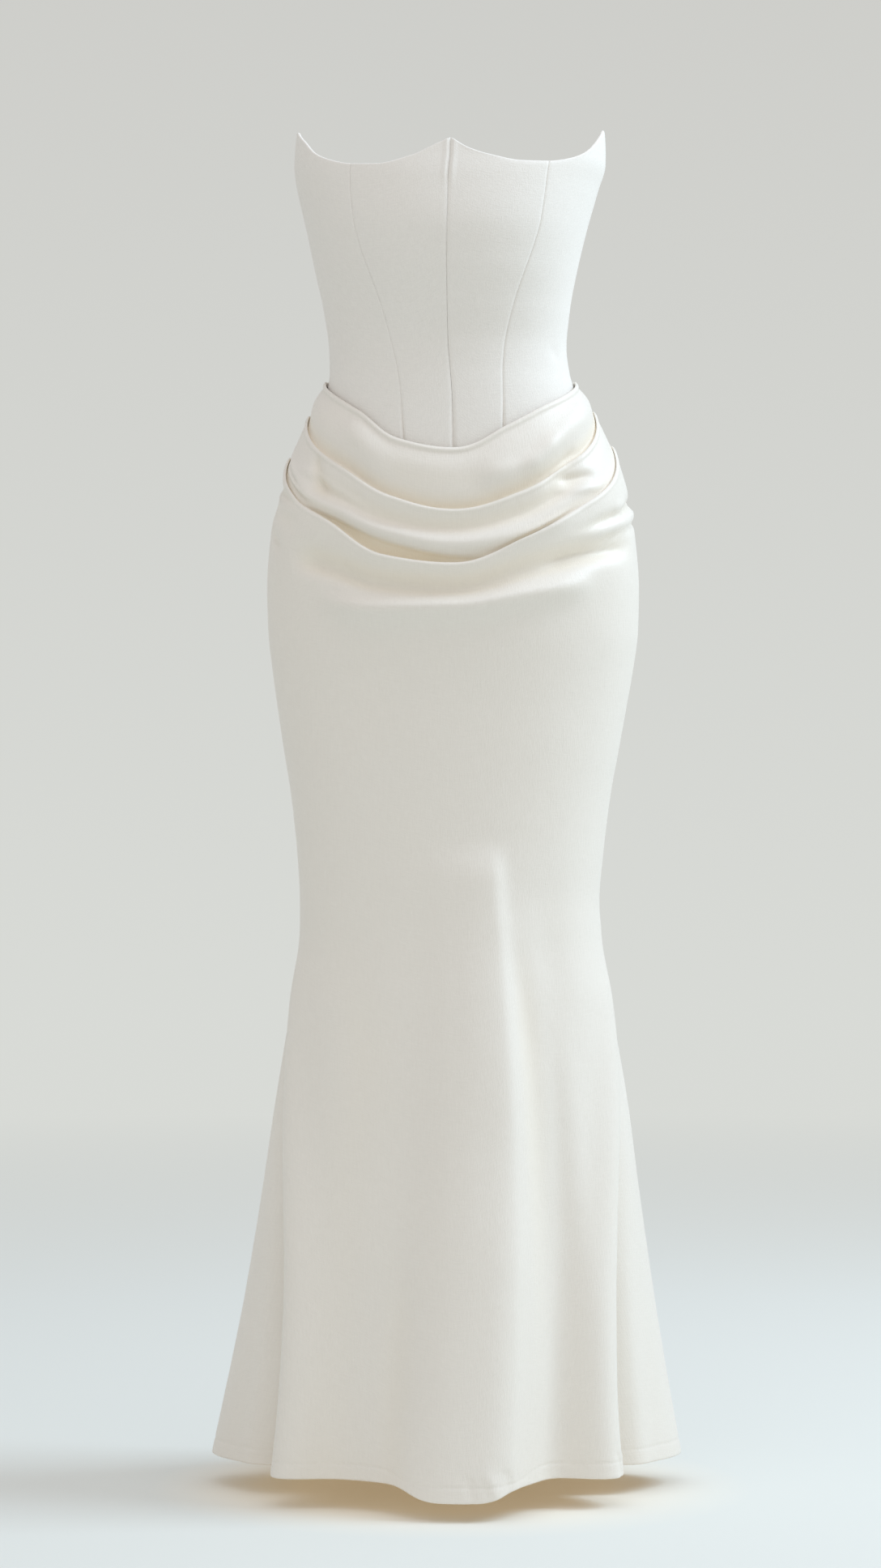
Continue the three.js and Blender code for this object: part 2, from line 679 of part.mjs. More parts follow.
const ROUND_EXTRUDE = { bevelEnabled: false, curveSegments: 10 };
const eyeZ = topEdge(180) - ZIP.belowEdge;
const backX = bodyPoint(180, eyeZ, 0).x;
const backY = bodyPoint(180, eyeZ, 0).y;
const eyeY = backY + ZIP.eyeOut;
function sliderNeck() {
  const shape = new THREE.Shape();
  const innerY = -(ZIP.eyeOut + BODICE_WALL + TAPE_WALL + 2 * ZIP.bodyBehind);
  const start = Math.asin(ZIP.neckHalf / ZIP.crownRadius);
  shape.moveTo(innerY, -ZIP.neckHalf);
  shape.absarc(0, 0, ZIP.crownRadius, Math.PI + start, 3 * Math.PI - start, false);
  shape.lineTo(innerY, ZIP.neckHalf);
  shape.closePath();
  const eye = new THREE.Path();
  eye.absarc(0, 0, ZIP.eyeRadius, 0, 2 * Math.PI, true);
  shape.holes.push(eye);
  const geometry = new THREE.ExtrudeGeometry(shape, { ...ROUND_EXTRUDE, depth: ZIP.neck });
  geometry.translate(0, 0, -ZIP.neck / 2);
  geometry.applyMatrix4(new THREE.Matrix4().makeBasis(
    new THREE.Vector3(0, 1, 0),
    new THREE.Vector3(0, 0, 1),
    new THREE.Vector3(1, 0, 0),
  ));
  geometry.translate(backX, eyeY, eyeZ);
  return geometry;
}

function sliderBody() {
  const outline = new THREE.Shape();
  const half = ZIP.bodyWide / 2;
  const tall = ZIP.bodyTall / 2;
  outline.moveTo(-half, tall);
  outline.lineTo(-half * ZIP.bodyTaper, -tall);
  outline.lineTo(half * ZIP.bodyTaper, -tall);
  outline.lineTo(half, tall);
  outline.closePath();
  const geometry = new THREE.ExtrudeGeometry(outline, { depth: ZIP.bodyDeep, bevelEnabled: false });
  geometry.rotateX(Math.PI / 2);
  geometry.translate(backX, backY - BODICE_WALL - TAPE_WALL - ZIP.bodyBehind, eyeZ);
  return geometry;
}
add('zip_slider', fromSolid(toSolid(sliderNeck()).add(toSolid(sliderBody()))), zinc);

// Pull tab: a drop-shaped plate that hangs by a bar through the slider's eye
function pullTab() {
  const shape = new THREE.Shape();
  const top = ZIP.barThick / 2;
  const belly = -ZIP.tabLong + ZIP.tabHalf;
  const shoulder = -top - ZIP.windowTall * ZIP.shoulderDown;
  shape.moveTo(-ZIP.shoulderHalf, top);
  shape.lineTo(-ZIP.shoulderHalf, shoulder);
  shape.absarc(0, belly, ZIP.tabHalf, Math.PI, 2 * Math.PI, false);
  shape.lineTo(ZIP.shoulderHalf, shoulder);
  shape.lineTo(ZIP.shoulderHalf, top);
  shape.closePath();
  const opening = new THREE.Path();
  opening.moveTo(-ZIP.windowHalf, -top);
  opening.lineTo(ZIP.windowHalf, -top);
  opening.lineTo(ZIP.windowHalf, -top - ZIP.windowTall);
  opening.lineTo(-ZIP.windowHalf, -top - ZIP.windowTall);
  opening.closePath();
  shape.holes.push(opening);
  const geometry = new THREE.ExtrudeGeometry(shape, { ...ROUND_EXTRUDE, depth: ZIP.barThick });
  geometry.translate(0, 0, -ZIP.barThick / 2);
  geometry.rotateX(Math.PI / 2);
  geometry.translate(backX, eyeY, eyeZ);
  return geometry;
}
add('zip_pull_tab', pullTab(), zinc);

export default dress;
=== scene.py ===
import bpy
import numpy as np
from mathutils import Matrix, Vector


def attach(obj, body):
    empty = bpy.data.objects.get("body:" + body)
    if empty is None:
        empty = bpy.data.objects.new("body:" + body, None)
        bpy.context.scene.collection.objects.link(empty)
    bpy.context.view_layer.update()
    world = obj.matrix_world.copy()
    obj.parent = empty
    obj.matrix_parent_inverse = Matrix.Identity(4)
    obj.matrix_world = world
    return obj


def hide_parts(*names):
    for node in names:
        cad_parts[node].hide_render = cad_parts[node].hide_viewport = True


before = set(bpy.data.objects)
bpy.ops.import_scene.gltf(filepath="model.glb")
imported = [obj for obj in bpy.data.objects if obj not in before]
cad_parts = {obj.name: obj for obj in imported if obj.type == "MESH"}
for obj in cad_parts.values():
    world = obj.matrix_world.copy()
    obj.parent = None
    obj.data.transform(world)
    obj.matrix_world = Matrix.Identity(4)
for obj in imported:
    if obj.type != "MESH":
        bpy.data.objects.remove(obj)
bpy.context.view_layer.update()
MM = 0.001

# Thickness of the cloths, and of the walls in the solids that they stand for
CREPE_THICK = 0.9
SATIN_THICK = 0.9
TAPE_THICK = 0.6
CAD_BODICE_WALL = 2.0
CAD_SKIRT_WALL = 1.2

# Seams: the gap between two panels, how far the cloth sinks into it and how far from it that begins,
# and the distances from it at which a panel has a column of its own
SEAM_GAP = 0.14
SEAM_DIP = 0.55
SEAM_SOFT = 1.1
SEAM_COLUMNS = [0, 0.7, 1.4, 2.3, 3.6, 5.5]

# The body's sections are ovals: 2 would be an ellipse, and more is squarer
SQUARENESS = 2.2
SIDE_SEAM_TURN = 97
FRONT_END_TURN = SIDE_SEAM_TURN - 0.1
DRAPE_END_Z = -330
KNEE_Z = -515
HEM_Z = -1028

# Depth of the slight unevenness of each cloth
CREPE_RIPPLE = 0.22
SATIN_RIPPLE = 0.3


def columns(names, rows):
    """A short table as one array for each named column."""
    return {name: np.array([row[k] for row in rows], float) for k, name in enumerate(names.split())}


def records(names, rows):
    """A short table as one dictionary for each row."""
    return [dict(zip(names.split(), row)) for row in rows]


# The body that the dress is cut for: half width, depth to the front and back, shift to the left
SECTIONS = columns("z half front back shift", [
    (-1045, 190, 152, 187, -4),
    (-980, 182, 145, 176, -3),
    (-880, 171, 134, 159, -1),
    (-780, 162.5, 122, 143, 0),
    (-680, 155.5, 110, 127, 1),
    (-600, 148.5, 101, 115, 0.5),
    (-540, 140, 95, 109, 0),
    (-507, 139.5, 94, 107, -1),
    (-469, 142, 95, 108, -0.5),
    (-413, 148.5, 97, 112, 0),
    (-356, 158, 100, 118, 1),
    (-299, 166.5, 102.5, 126, 2),
    (-261, 169.5, 103.5, 130, 2.5),
    (-223, 168, 103, 131, 2.5),
    (-166, 159, 100, 122, 2.5),
    (-129, 148, 97, 114, 3.5),
    (-91, 134, 93, 103, 2.5),
    (-53, 121.5, 89.5, 92, 1.5),
    (-34, 116, 88, 86, 0.5),
    (-15, 112, 87, 80, -1),
    (4, 111, 88, 78, -2.5),
    (42, 115, 99, 80, -3.5),
    (80, 122.6, 113, 86, -4),
    (117, 131, 120, 90, -3.5),
    (154, 140.4, 116, 88, -2.5),
    (178, 145.3, 110, 85, -0.5),
    (207, 145, 103, 81, 0),
    (230, 145, 98, 78, 0),
])

# Height of the bodice's top edge at each turn, on the wearer's left and right
TOP_EDGE = columns("turn left right", [
    (0, 189, 189),
    (5, 180, 182),
    (12, 174, 173),
    (25, 169, 166),
    (37, 170, 167.5),
    (48, 174.5, 173),
    (58, 182, 181),
    (68, 194, 194),
    (76, 204, 202),
    (80, 208, 206),
    (85, 194, 192),
    (91, 174, 173),
    (97, 161, 161),
    (125, 139, 139),
    (155, 128, 128),
    (180, 125, 125),
])

# Turn of the bodice's shaped seams, front and back, and of the skirt's side seams at each level
SHAPED_SEAMS = columns("z front back", [
    (-110, 16, 159),
    (-72, 19, 157),
    (-32, 22, 154),
    (7, 26, 151),
    (40, 30, 149),
    (67, 34, 146),
    (93, 37.5, 143),
    (115, 39, 140),
    (137, 38.5, 138),
    (170, 37, 136),
])
SIDE_SEAMS = columns("z turn", [
    (-1045, 62), (-980, 63), (-880, 67), (-780, 75), (-680, 86), (-600, 93), (-540, 97),
])

# The lips of the hip drape: how far they stand off the body at the sides and in the middle, and their
# heights at the stations, which are turns
STATIONS = [-90, -60, -40, -20, 0, 20, 40, 60, 90]
LIPS = records("side middle heights", [
    (3.8, 6, [-24, -42, -58, -84, -93, -72, -53, -40, -24]),
    (12, 14, [-56, -90, -111, -137, -150, -134, -110, -88, -52]),
    (18, 18, [-95, -138, -160, -191, -199, -176, -149, -125, -84]),
])

# How far the bodice reaches down behind the first lip
BODICE_BEHIND_LIP = 20
# From the middle of one layer of a lip's cloth to the next, at the centre front and at the sides
LAYER_STEP = 2.2
SIDE_LAYER_STEP = 1.3
# A lip's edge: its round, how deep the cloth is tucked behind it, and the rim that stands out at its top
LIP_ROUND = 2.3
TUCK_DEPTH = 9
RIM = dict(rise=0.6, dip=0.3, dip_at=5.2)
# On its way down into a tuck: the share of the depth at which the cloth still follows a share of the
# pocket's. And the painted shade, a warmer colour, of the cloth inside the lip's edge
TUCK = dict(level=0.45, pocket=0.6, edge_painted_shade=0.8)

# Soft folds of the hip: rise, half breadth, the turns they run between, and heights at the stations
SOFT_FOLDS = records("rise breadth start end heights", [
    (4.5, 7.5, -90, 45, [-84, -126, -145, -169, -182, -172, -153, -131, -84]),
    (-5, 11, -60, 78, [-175, -186, -198, -216, -221, -202, -188, -180, -172]),
    (3.5, 13, -45, 52, [-200, -218, -232, -239, -236, -225, -214, -200, -190]),
    (-3, 8, 42, 95, [-128, -150, -178, -210, -222, -210, -168, -155, -138]),
    (-2.5, 8, -95, -50, [-138, -158, -180, -205, -222, -210, -188, -172, -155]),
])
# Degrees over which the end of a soft fold fades
FOLD_END = 16

# Folds that grow from the knee to the hem: turn at the start and at the hem, half breadth in degrees,
# rise at the hem, height at which they start, and how flat their crown is
HEM_FOLDS = records("top hem breadth rise start crown", [
    (14, 4, 17, 46, -450, 3),
    (40, 31, 8, -8, -470, 2),
    (102, 97, 13, 34, -515, 2),
    (-102, -97, 13, 34, -515, 2),
    (118, 118, 9, -16, -560, 2),
    (-119, -119, 9, -15, -570, 2),
    (136, 137, 11, 20, -550, 2),
    (-134, -138, 11, 22, -540, 2),
    (156, 158, 9, -17, -590, 2),
    (-155, -158, 9, -15, -570, 2),
])
# The same beside each side seam: degrees from the seam towards the front
SEAM_FOLDS = records("before breadth rise start", [
    (17, 10, 25, -520),
    (0, 7, -40, -530),
])
BACK_HEM_FOLD = dict(breadth=12, rise=20, start=-560)
# A fold grows towards the hem with this power of the way down
FOLD_GROWTH = 1.15
# The hem hangs lower under the front fold, and the waist seam falls towards the centre back
HEM_DIP = dict(turn=3, breadth=16, drop=11)
BACK_WAIST = dict(z=-44, fall=14)
# Below the drape the skirt returns to the body's own form
FADE = dict(rows=46, spacing=1.25, power=1.55)
# The two tiers between the lips: how far each swells and at which share of its height, how far it sinks
# behind the next lip, and how much painted shade, a warmer colour, the cloth gets there
TIERS = records("bulge peak hollow warmth", [
    (6.5, 0.46, 6.5, 0.45),
    (0.8, 0.40, 2.5, 0.25),
])
# The same for both: the swell's share at the sides and its power, how wide the middle is, the shares of
# the height between which creases show, where the painted shade begins, and the painted shade of the deep
# pocket
TIER_SHAPE = dict(side=0.5, power=1.3, middle=0.6, soft_in=0.15, soft_out=0.9, painted_shade_from=0.62, pocket=0.7)
# How the second tier sinks behind the third lip: the turn where it is deepest, its half breadth, its depth
POCKET = dict(turn=-15, breadth=22, depth=3.6)
# The deep pocket under the second tier's fold, right of the centre front on the wearer: its upper edge
# at the stations, its depth, how soon it sinks in, and the turns between which it opens
POCKET_FOLD = dict(depth=5.2, sinks=2.4, start=-60, full=-34, wide=-8, end=14,
                   heights=[-118, -139, -155, -177, -191, -196, -201, -201, -201])
# The skirt's top edge, rolled under the bodice's foot: how far down, and how far out
WAIST_ROLL = ((0.6, 0), (3.2, 0.2), (4.8, 1.6), (2.6, 3))

# How far the back stands off the body beside the drape, and the folds pulled across it
SIDE_EASE = columns("z out", [
    (-330, 0.6), (-223, 5), (-160, 10), (-100, 11.5), (-60, 6), (-44, 1.5), (-30, 0.9), (-20, 0.6),
])
EASE_END_TURN = 150
BACK_FOLDS = records("z fall rise breadth reach", [
    (-78, 34, -4, 10, 56),
    (-118, 36, -4.5, 11, 62),
    (-160, 30, -3.5, 12, 50),
])
# Share of its reach from which such a fold fades
BACK_FOLD_FADE = 0.35


def smooth_curve(x, y):
    """A curve through points that never overshoots them, as a function of arrays."""
    x, y = np.asarray(x, float), np.asarray(y, float)
    secant = np.diff(y) / np.diff(x)
    slope = np.concatenate([secant[:1], np.zeros(len(x) - 2), secant[-1:]])
    before, after = secant[:-1], secant[1:]
    same_way = before * after > 0
    slope[1:-1][same_way] = (2 * before * after)[same_way] / (before + after)[same_way]

    def read(at):
        at = np.clip(at, x[0], x[-1])
        i = np.clip(np.searchsorted(x, at, side="right") - 1, 0, len(x) - 2)
        w = x[i + 1] - x[i]
        s = (at - x[i]) / w
        rise = y[i + 1] - y[i]
        a = slope[i] * w - rise
        b = rise - slope[i + 1] * w
        return y[i] + s * rise + s * (1 - s) * (a * (1 - s) + b * s)

    return read


def mix(a, b, share):
    """From `a` at a share of 0 to `b` at 1."""
    return a + (b - a) * share


def smooth(x, low, high):
    """From 0 below `low` to 1 above `high`, eased at both ends."""
    s = np.clip((x - low) / (high - low), 0, 1)
    return s * s * (3 - 2 * s)


def steps_to(end, count):
    """Even steps from 0, which is left out, to `end`."""
    return np.linspace(0, end, count + 1)[1:]


def bell(x):
    """A soft bump: 1 at 0, and next to nothing past 2 or -2."""
    return np.exp(-x * x)


half_width = smooth_curve(SECTIONS["z"], SECTIONS["half"])
front_depth = smooth_curve(SECTIONS["z"], SECTIONS["front"])
back_depth = smooth_curve(SECTIONS["z"], SECTIONS["back"])
left_shift = smooth_curve(SECTIONS["z"], SECTIONS["shift"])
top_left = smooth_curve(TOP_EDGE["turn"], TOP_EDGE["left"])
top_right = smooth_curve(TOP_EDGE["turn"], TOP_EDGE["right"])
front_seam = smooth_curve(SHAPED_SEAMS["z"], SHAPED_SEAMS["front"])
back_seam = smooth_curve(SHAPED_SEAMS["z"], SHAPED_SEAMS["back"])
side_seam = smooth_curve(SIDE_SEAMS["z"], SIDE_SEAMS["turn"])
side_ease = smooth_curve(SIDE_EASE["z"], SIDE_EASE["out"])
for fold in LIPS + SOFT_FOLDS:
    fold["height"] = smooth_curve(STATIONS, fold["heights"])


def top_edge(turn):
    """Height of the bodice's top edge."""
    return np.where(turn >= 0, top_left(np.abs(turn)), top_right(np.abs(turn)))


def waist_line(turn):
    """The waist seam across the back."""
    return BACK_WAIST["z"] - BACK_WAIST["fall"] * smooth(np.abs(turn), SIDE_SEAM_TURN, 180)


def bodice_foot(turn):
    """Lower edge of the bodice: behind the drape in front, at the waist seam at the back."""
    front = LIPS[0]["height"](turn) - BODICE_BEHIND_LIP
    return np.where(np.abs(turn) > SIDE_SEAM_TURN, waist_line(turn), front)


def hem_edge(turn):
    """Height of the hem, lower under the front fold."""
    return HEM_Z - HEM_DIP["drop"] * np.exp(-(((turn - HEM_DIP["turn"]) / HEM_DIP["breadth"]) ** 4))


def body_point(turn, z, out):
    """Points at turns and heights, moved out from the body by `out`."""
    turn, z, out = np.broadcast_arrays(np.asarray(turn, float), z, out)
    half = half_width(z)
    s, c = np.sin(np.radians(turn)), np.cos(np.radians(turn))
    depth = np.where(c >= 0, front_depth(z), back_depth(z))
    power = 2 / SQUARENESS
    x = half * np.sign(s) * np.abs(s) ** power
    y = -depth * np.sign(c) * np.abs(c) ** power
    nx = np.sign(s) * np.abs(s) ** (2 - power) / half
    ny = -np.sign(c) * np.abs(c) ** (2 - power) / depth
    n = np.hypot(nx, ny)
    return np.stack([x + left_shift(z) + nx / n * out, y + ny / n * out, z], -1)


def as_turn(width, z):
    """A width along the cloth as degrees round the body."""
    return np.degrees(width / half_width(z))


def along(turn, z):
    """Distance along the cloth from the centre front."""
    return np.radians(turn) * half_width(z)


def grown_by(fold, z):
    """Share of its way to the hem that a fold has grown."""
    return np.maximum(0, (fold["start"] - z) / (fold["start"] - HEM_Z))


def hem_folds(turn, z):
    """How far the folds below the knee stand out."""
    out = 0
    for fold in HEM_FOLDS:
        grown = grown_by(fold, z)
        off = np.abs(turn - mix(fold["top"], fold["hem"], grown)) / fold["breadth"]
        out = out + fold["rise"] * grown ** FOLD_GROWTH * np.exp(-(off ** fold["crown"]))
    for fold in SEAM_FOLDS:
        off = np.abs(turn) - (side_seam(z) - fold["before"])
        out = out + fold["rise"] * grown_by(fold, z) * bell(off / fold["breadth"])
    back = BACK_HEM_FOLD
    return out + back["rise"] * grown_by(back, z) * bell((180 - np.abs(turn)) / back["breadth"])


def soft_folds(turn, z):
    """How far the soft folds of the hip stand out."""
    out = 0
    for fold in SOFT_FOLDS:
        ends = smooth(turn, fold["start"], fold["start"] + FOLD_END)
        ends = ends * (1 - smooth(turn, fold["end"] - FOLD_END, fold["end"]))
        out = out + fold["rise"] * ends * bell((z - fold["height"](turn)) / fold["breadth"])
    return out


# Creases placed one by one. Each runs on a bend from its start, by its middle, to its end, given as turns
# and heights, with its rise, its breadth to the left and right of the way it runs, and the share of its
# length over which each end fades.
CREASE_COLUMNS = "t0 z0 t1 z1 t2 z2 rise left right fade_in fade_out"
FRONT_CREASES = records(CREASE_COLUMNS, [
    (12, -452, 15.5, -600, 16, -880, 6.6, 11, 48, 0.18, 0.4),
    (16.2, -720, 15, -900, 11, -1100, 6.6, 13, 44, 0.35, 0.02),
    (19.5, -530, 25, -680, 26, -980, -4.8, 14, 14, 0.4, 0.45),
    (-56, -127, -46, -137, -32, -150, -3.0, 6, 3.4, 0.15, 0.5),
    (34, -560, 42, -720, 43, -1010, 2.4, 18, 15, 0.45, 0.4),
    (-58, -90, -54, -119, -43, -139, -4.4, 9, 4, 0.25, 0.35),
    (-79, -164, -72, -176, -62, -184, -3.0, 6, 5, 0.4, 0.5),
    (60, -150, 66, -144, 76, -139, 2.6, 4, 5, 0.4, 0.4),
    (20, -118, 33, -98, 44, -72, 3.4, 9, 8, 0.35, 0.4),
    (26, -128, 40, -112, 52, -86, -3.4, 6, 8, 0.35, 0.4),
    (-46, -66, -38, -80, -22, -108, 2.6, 12, 9, 0.4, 0.5),
    (-50, -520, -30, -640, -22, -860, -1.4, 30, 26, 0.5, 0.5),
    (-14, -790, -14, -930, -13, -1080, -2.4, 16, 12, 0.4, 0.05),
    (-33, -560, -34, -780, -31, -1080, -1.6, 22, 30, 0.5, 0.05),
    (7, -1008, 9, -1023, 10.5, -1042, 1.6, 3.5, 3, 0.4, 0.02),
    (11, -1006, 12.6, -1020, 13.4, -1040, -1.8, 3, 3.5, 0.4, 0.02),
    (3, -1012, 4.5, -1026, 5, -1044, -1.2, 3, 3, 0.4, 0.02),
    (46, -1000, 48, -1014, 49, -1032, -1.8, 3, 4, 0.4, 0.02),
    (50, -1004, 51.5, -1016, 52, -1032, 1.4, 3, 3, 0.4, 0.02),
])
# The same drawn along a lip's curve: heights at the stations, rise, breadth above and below, and the
# turns between which it fades in and out
CURVED_CREASES = records("rise above below from_turn full_from full_to to_turn heights", [
    (-7.2, 12, 6.0, -62, -50, 38, 52, [-90, -119, -138, -159, -167, -154, -129, -106, -72]),
    (-7.6, 17, 6.5, -60, -44, 30, 74, [-180, -194, -204, -219, -224, -209, -195, -184, -180]),
    (6.6, 7.5, 14, -48, -26, 30, 48, [-200, -218, -232, -240, -238, -228, -217, -208, -196]),
    (3.6, 9, 12, 4, 18, 60, 84, [-100, -108, -114, -120, -122, -112, -84, -58, -34]),
    (-2.2, 14, 12, -30, -14, 4, 14, [-80, -90, -100, -116, -124, -118, -100, -90, -80]),
    (-3.4, 5, 3, 34, 52, 92, 99, [-200, -196, -192, -190, -188, -180, -168, -154, -137]),
    (2.6, 4, 5, 40, 56, 88, 97, [-200, -196, -194, -192, -190, -188, -178, -162, -146]),
    (-3.0, 5, 3, 46, 58, 92, 99, [-210, -206, -204, -202, -200, -196, -186, -171, -155]),
    (-3.6, 3, 8, 24, 34, 58, 70, [-220, -216, -214, -210, -206, -202, -190, -183, -178]),
    (-2.6, 1.9, 2.2, -92, -82, -62, -50, [-91, -133, -155, -182, -193, -171, -144, -120, -79]),
    (-2.8, 2.0, 2.4, -92, -82, -66, -56, [-85, -126, -147, -174, -187, -165, -138, -114, -73]),
    (-3.4, 7, 4, -99, -92, -72, -52, [-122, -142, -160, -180, -190, -180, -160, -140, -120]),
    (-3.6, 4.5, 3.5, 34, 42, 49, 56, [-128, -128, -128, -128, -128, -126, -121, -113, -96]),
    (2.4, 3.5, 4.5, 32, 41, 50, 60, [-138, -138, -138, -138, -138, -136, -131, -123, -106]),
    (2.2, 4, 5, -72, -60, -36, -18, [-96, -112, -132, -158, -176, -160, -140, -120, -90]),
])
BODICE_CREASES = records(CREASE_COLUMNS, [
    (-84, 12, -62, 22, -46, 44, -1.2, 11, 9, 0.4, 0.5),
    (-80, 78, -66, 92, -52, 98, -0.9, 12, 10, 0.5, 0.5),
    (-66, 48, -58, 55, -48, 58, -1.0, 8, 7, 0.5, 0.5),
    (-64, -10, -58, -5, -48, 1, -1.2, 7, 6, 0.5, 0.5),
    (70, -14, 62, -2, 52, 4, -1.0, 8, 7, 0.5, 0.5),
    (140, -16, 128, -8, 112, -12, -1.1, 8, 7, 0.5, 0.5),
    (-142, -12, -126, -4, -110, -9, -1.3, 8, 7, 0.5, 0.5),
    (-136, 34, -124, 40, -108, 36, -0.8, 10, 9, 0.5, 0.5),
])
BACK_CREASES = records(CREASE_COLUMNS, [
    (172, -86, 158, -104, 138, -112, -2.2, 9, 12, 0.35, 0.5),
    (-170, -92, -152, -112, -132, -116, -2.6, 10, 12, 0.35, 0.5),
    (170, -138, 152, -158, 128, -160, -2.0, 12, 15, 0.4, 0.5),
    (-172, -150, -156, -166, -136, -170, -1.8, 11, 14, 0.4, 0.5),
    (166, -330, 158, -430, 150, -560, -2.4, 16, 24, 0.5, 0.5),
    (-160, -300, -150, -420, -146, -560, -2.0, 20, 15, 0.5, 0.5),
    (176, -470, 150, -498, 122, -506, -2.4, 10, 13, 0.4, 0.5),
    (-176, -484, -148, -508, -120, -512, -2.8, 11, 13, 0.4, 0.5),
    (146, -640, 148, -800, 147, -1080, 3.2, 15, 34, 0.4, 0.02),
    (-126, -660, -128, -820, -127, -1080, 3.0, 34, 15, 0.4, 0.02),
    (-168, -700, -168, -860, -169, -1080, -2.6, 16, 12, 0.4, 0.02),
    (167, -740, 168, -880, 166, -1080, -2.2, 12, 16, 0.4, 0.02),
    (76, -760, 71, -900, 69, -1100, -4.4, 9, 6, 0.4, 0.02),
    (-77, -780, -73, -920, -71, -1100, -3.0, 6, 10, 0.4, 0.02),
])
CREASE_SAMPLES = 48


def crease_relief(turn, z, creases):
    """How far the hand-placed creases raise or sink the cloth."""
    turn, z = np.broadcast_arrays(turn, z)
    x = along(turn, z)
    out = np.zeros(turn.shape)
    share = np.linspace(0, 1, CREASE_SAMPLES)
    # Weights of a bend through three points, the middle one halfway
    w0, w1, w2 = (1 - share) * (1 - 2 * share), 4 * share * (1 - share), share * (2 * share - 1)
    for row in creases:
        line_z = w0 * row["z0"] + w1 * row["z1"] + w2 * row["z2"]
        line_x = along(w0 * row["t0"] + w1 * row["t1"] + w2 * row["t2"], line_z)
        nearest = np.full(turn.shape, np.inf)
        at = np.zeros(turn.shape)
        side = np.zeros(turn.shape)
        for k in range(CREASE_SAMPLES - 1):
            dx, dz = line_x[k + 1] - line_x[k], line_z[k + 1] - line_z[k]
            rx, rz = x - line_x[k], z - line_z[k]
            s = np.clip((rx * dx + rz * dz) / (dx * dx + dz * dz), 0, 1)
            off = np.hypot(rx - s * dx, rz - s * dz)
            closer = off < nearest
            nearest = np.where(closer, off, nearest)
            at = np.where(closer, (k + s) / (CREASE_SAMPLES - 1), at)
            side = np.where(closer, dx * rz - dz * rx, side)
        breadth = np.where(side > 0, row["left"], row["right"])
        ends = smooth(at, 0, row["fade_in"]) * (1 - smooth(at, 1 - row["fade_out"], 1))
        out += row["rise"] * ends * bell(nearest / breadth)
    return out


def curved_relief(turn, z):
    """How far the creases that follow the drape raise or sink the cloth."""
    out = 0
    for row in CURVED_CREASES:
        below = smooth_curve(STATIONS, row["heights"])(turn) - z
        breadth = np.where(below < 0, row["above"], row["below"])
        ends = smooth(turn, row["from_turn"], row["full_from"])
        ends = ends * (1 - smooth(turn, row["full_to"], row["to_turn"]))
        out = out + row["rise"] * ends * bell(below / breadth)
    return out


# Waves of the cloth's unevenness, broad ones and fine ones that never line up: millimetres of cloth to a
# radian, across it, down it and on a slant, and the shifts of the waves across and down
BROAD_WAVES = dict(across=31, down=58, slant=140, sway=1.7, sway_down=90, shifts=(0.4, 1.1))
FINE_WAVES = dict(across=17, down=39, slant=83, share=0.6, shifts=(2.0, 0.7))


def ripples(turn, z, depth):
    """Slight unevenness of hanging cloth."""
    x = along(turn, z)
    wave, shifts = BROAD_WAVES, BROAD_WAVES["shifts"]
    sway = np.sin(z / wave["sway_down"]) * wave["sway"]
    broad = np.sin(x / wave["across"] + sway + shifts[0])
    broad = broad * np.sin(z / wave["down"] + x / wave["slant"] + shifts[1])
    wave, shifts = FINE_WAVES, FINE_WAVES["shifts"]
    fine = wave["share"] * np.sin(x / wave["across"] - z / wave["slant"] + shifts[0])
    return depth * (broad + fine * np.sin(z / wave["down"] + shifts[1]))


def seam_spaced(width, count):
    """Shares from 0 to 1 across a panel of a width, closer together beside its two seams."""
    edge = np.array(SEAM_COLUMNS) / width
    inner = np.linspace(edge[-1], 1 - edge[-1], count)
    return np.concatenate([edge[:-1], inner, 1 - edge[-2::-1]])


def seam_dip(distance, depth=SEAM_DIP):
    """How far the cloth sinks into a seam at a distance from it."""
    return depth * bell(distance / SEAM_SOFT)


def down_columns(control, steps):
    """Smooth lines down every column through its control points, with `steps` rows to each stretch."""
    z, out = control[0], control[1]
    length = np.hypot(np.diff(z, axis=0), np.diff(out, axis=0))
    t = np.concatenate([np.zeros((1, z.shape[1])), np.cumsum(length, 0)])
    result = []
    for values in control:
        secant = np.diff(values, axis=0) / length
        before, after = secant[:-1], secant[1:]
        total = np.where(before * after > 0, before + after, 1)
        inner = np.where(before * after > 0, 2 * before * after / total, 0)
        slope = np.concatenate([secant[:1], inner, secant[-1:]])
        rows = []
        for k, count in enumerate(steps):
            for s in np.arange(count) / count:
                w = t[k + 1] - t[k]
                rise = values[k + 1] - values[k]
                a = slope[k] * w - rise
                b = rise - slope[k + 1] * w
                rows.append(values[k] + s * rise + s * (1 - s) * (a * (1 - s) + b * s))
        result.append(np.array(rows + [values[-1]]))
    return result


# Finish of every surface: shader maths as expressions
class Field:
    """A socket of a node tree. Sums and products of fields add Math nodes."""

    def __init__(self, tree, socket):
        self.tree, self.socket = tree, socket

    def math(self, operation, *values):
        return add_node(self.tree, "ShaderNodeMath", dict(operation=operation), dict(enumerate(values)))

    def __add__(self, other):
        return self.math("ADD", self, other)

    def __sub__(self, other):
        return self.math("SUBTRACT", self, other)

    def __rsub__(self, other):
        return self.math("SUBTRACT", other, self)

    def __mul__(self, other):
        return self.math("MULTIPLY", self, other)

    def __truediv__(self, other):
        return self.math("DIVIDE", self, other)

    __radd__ = __add__
    __rmul__ = __mul__


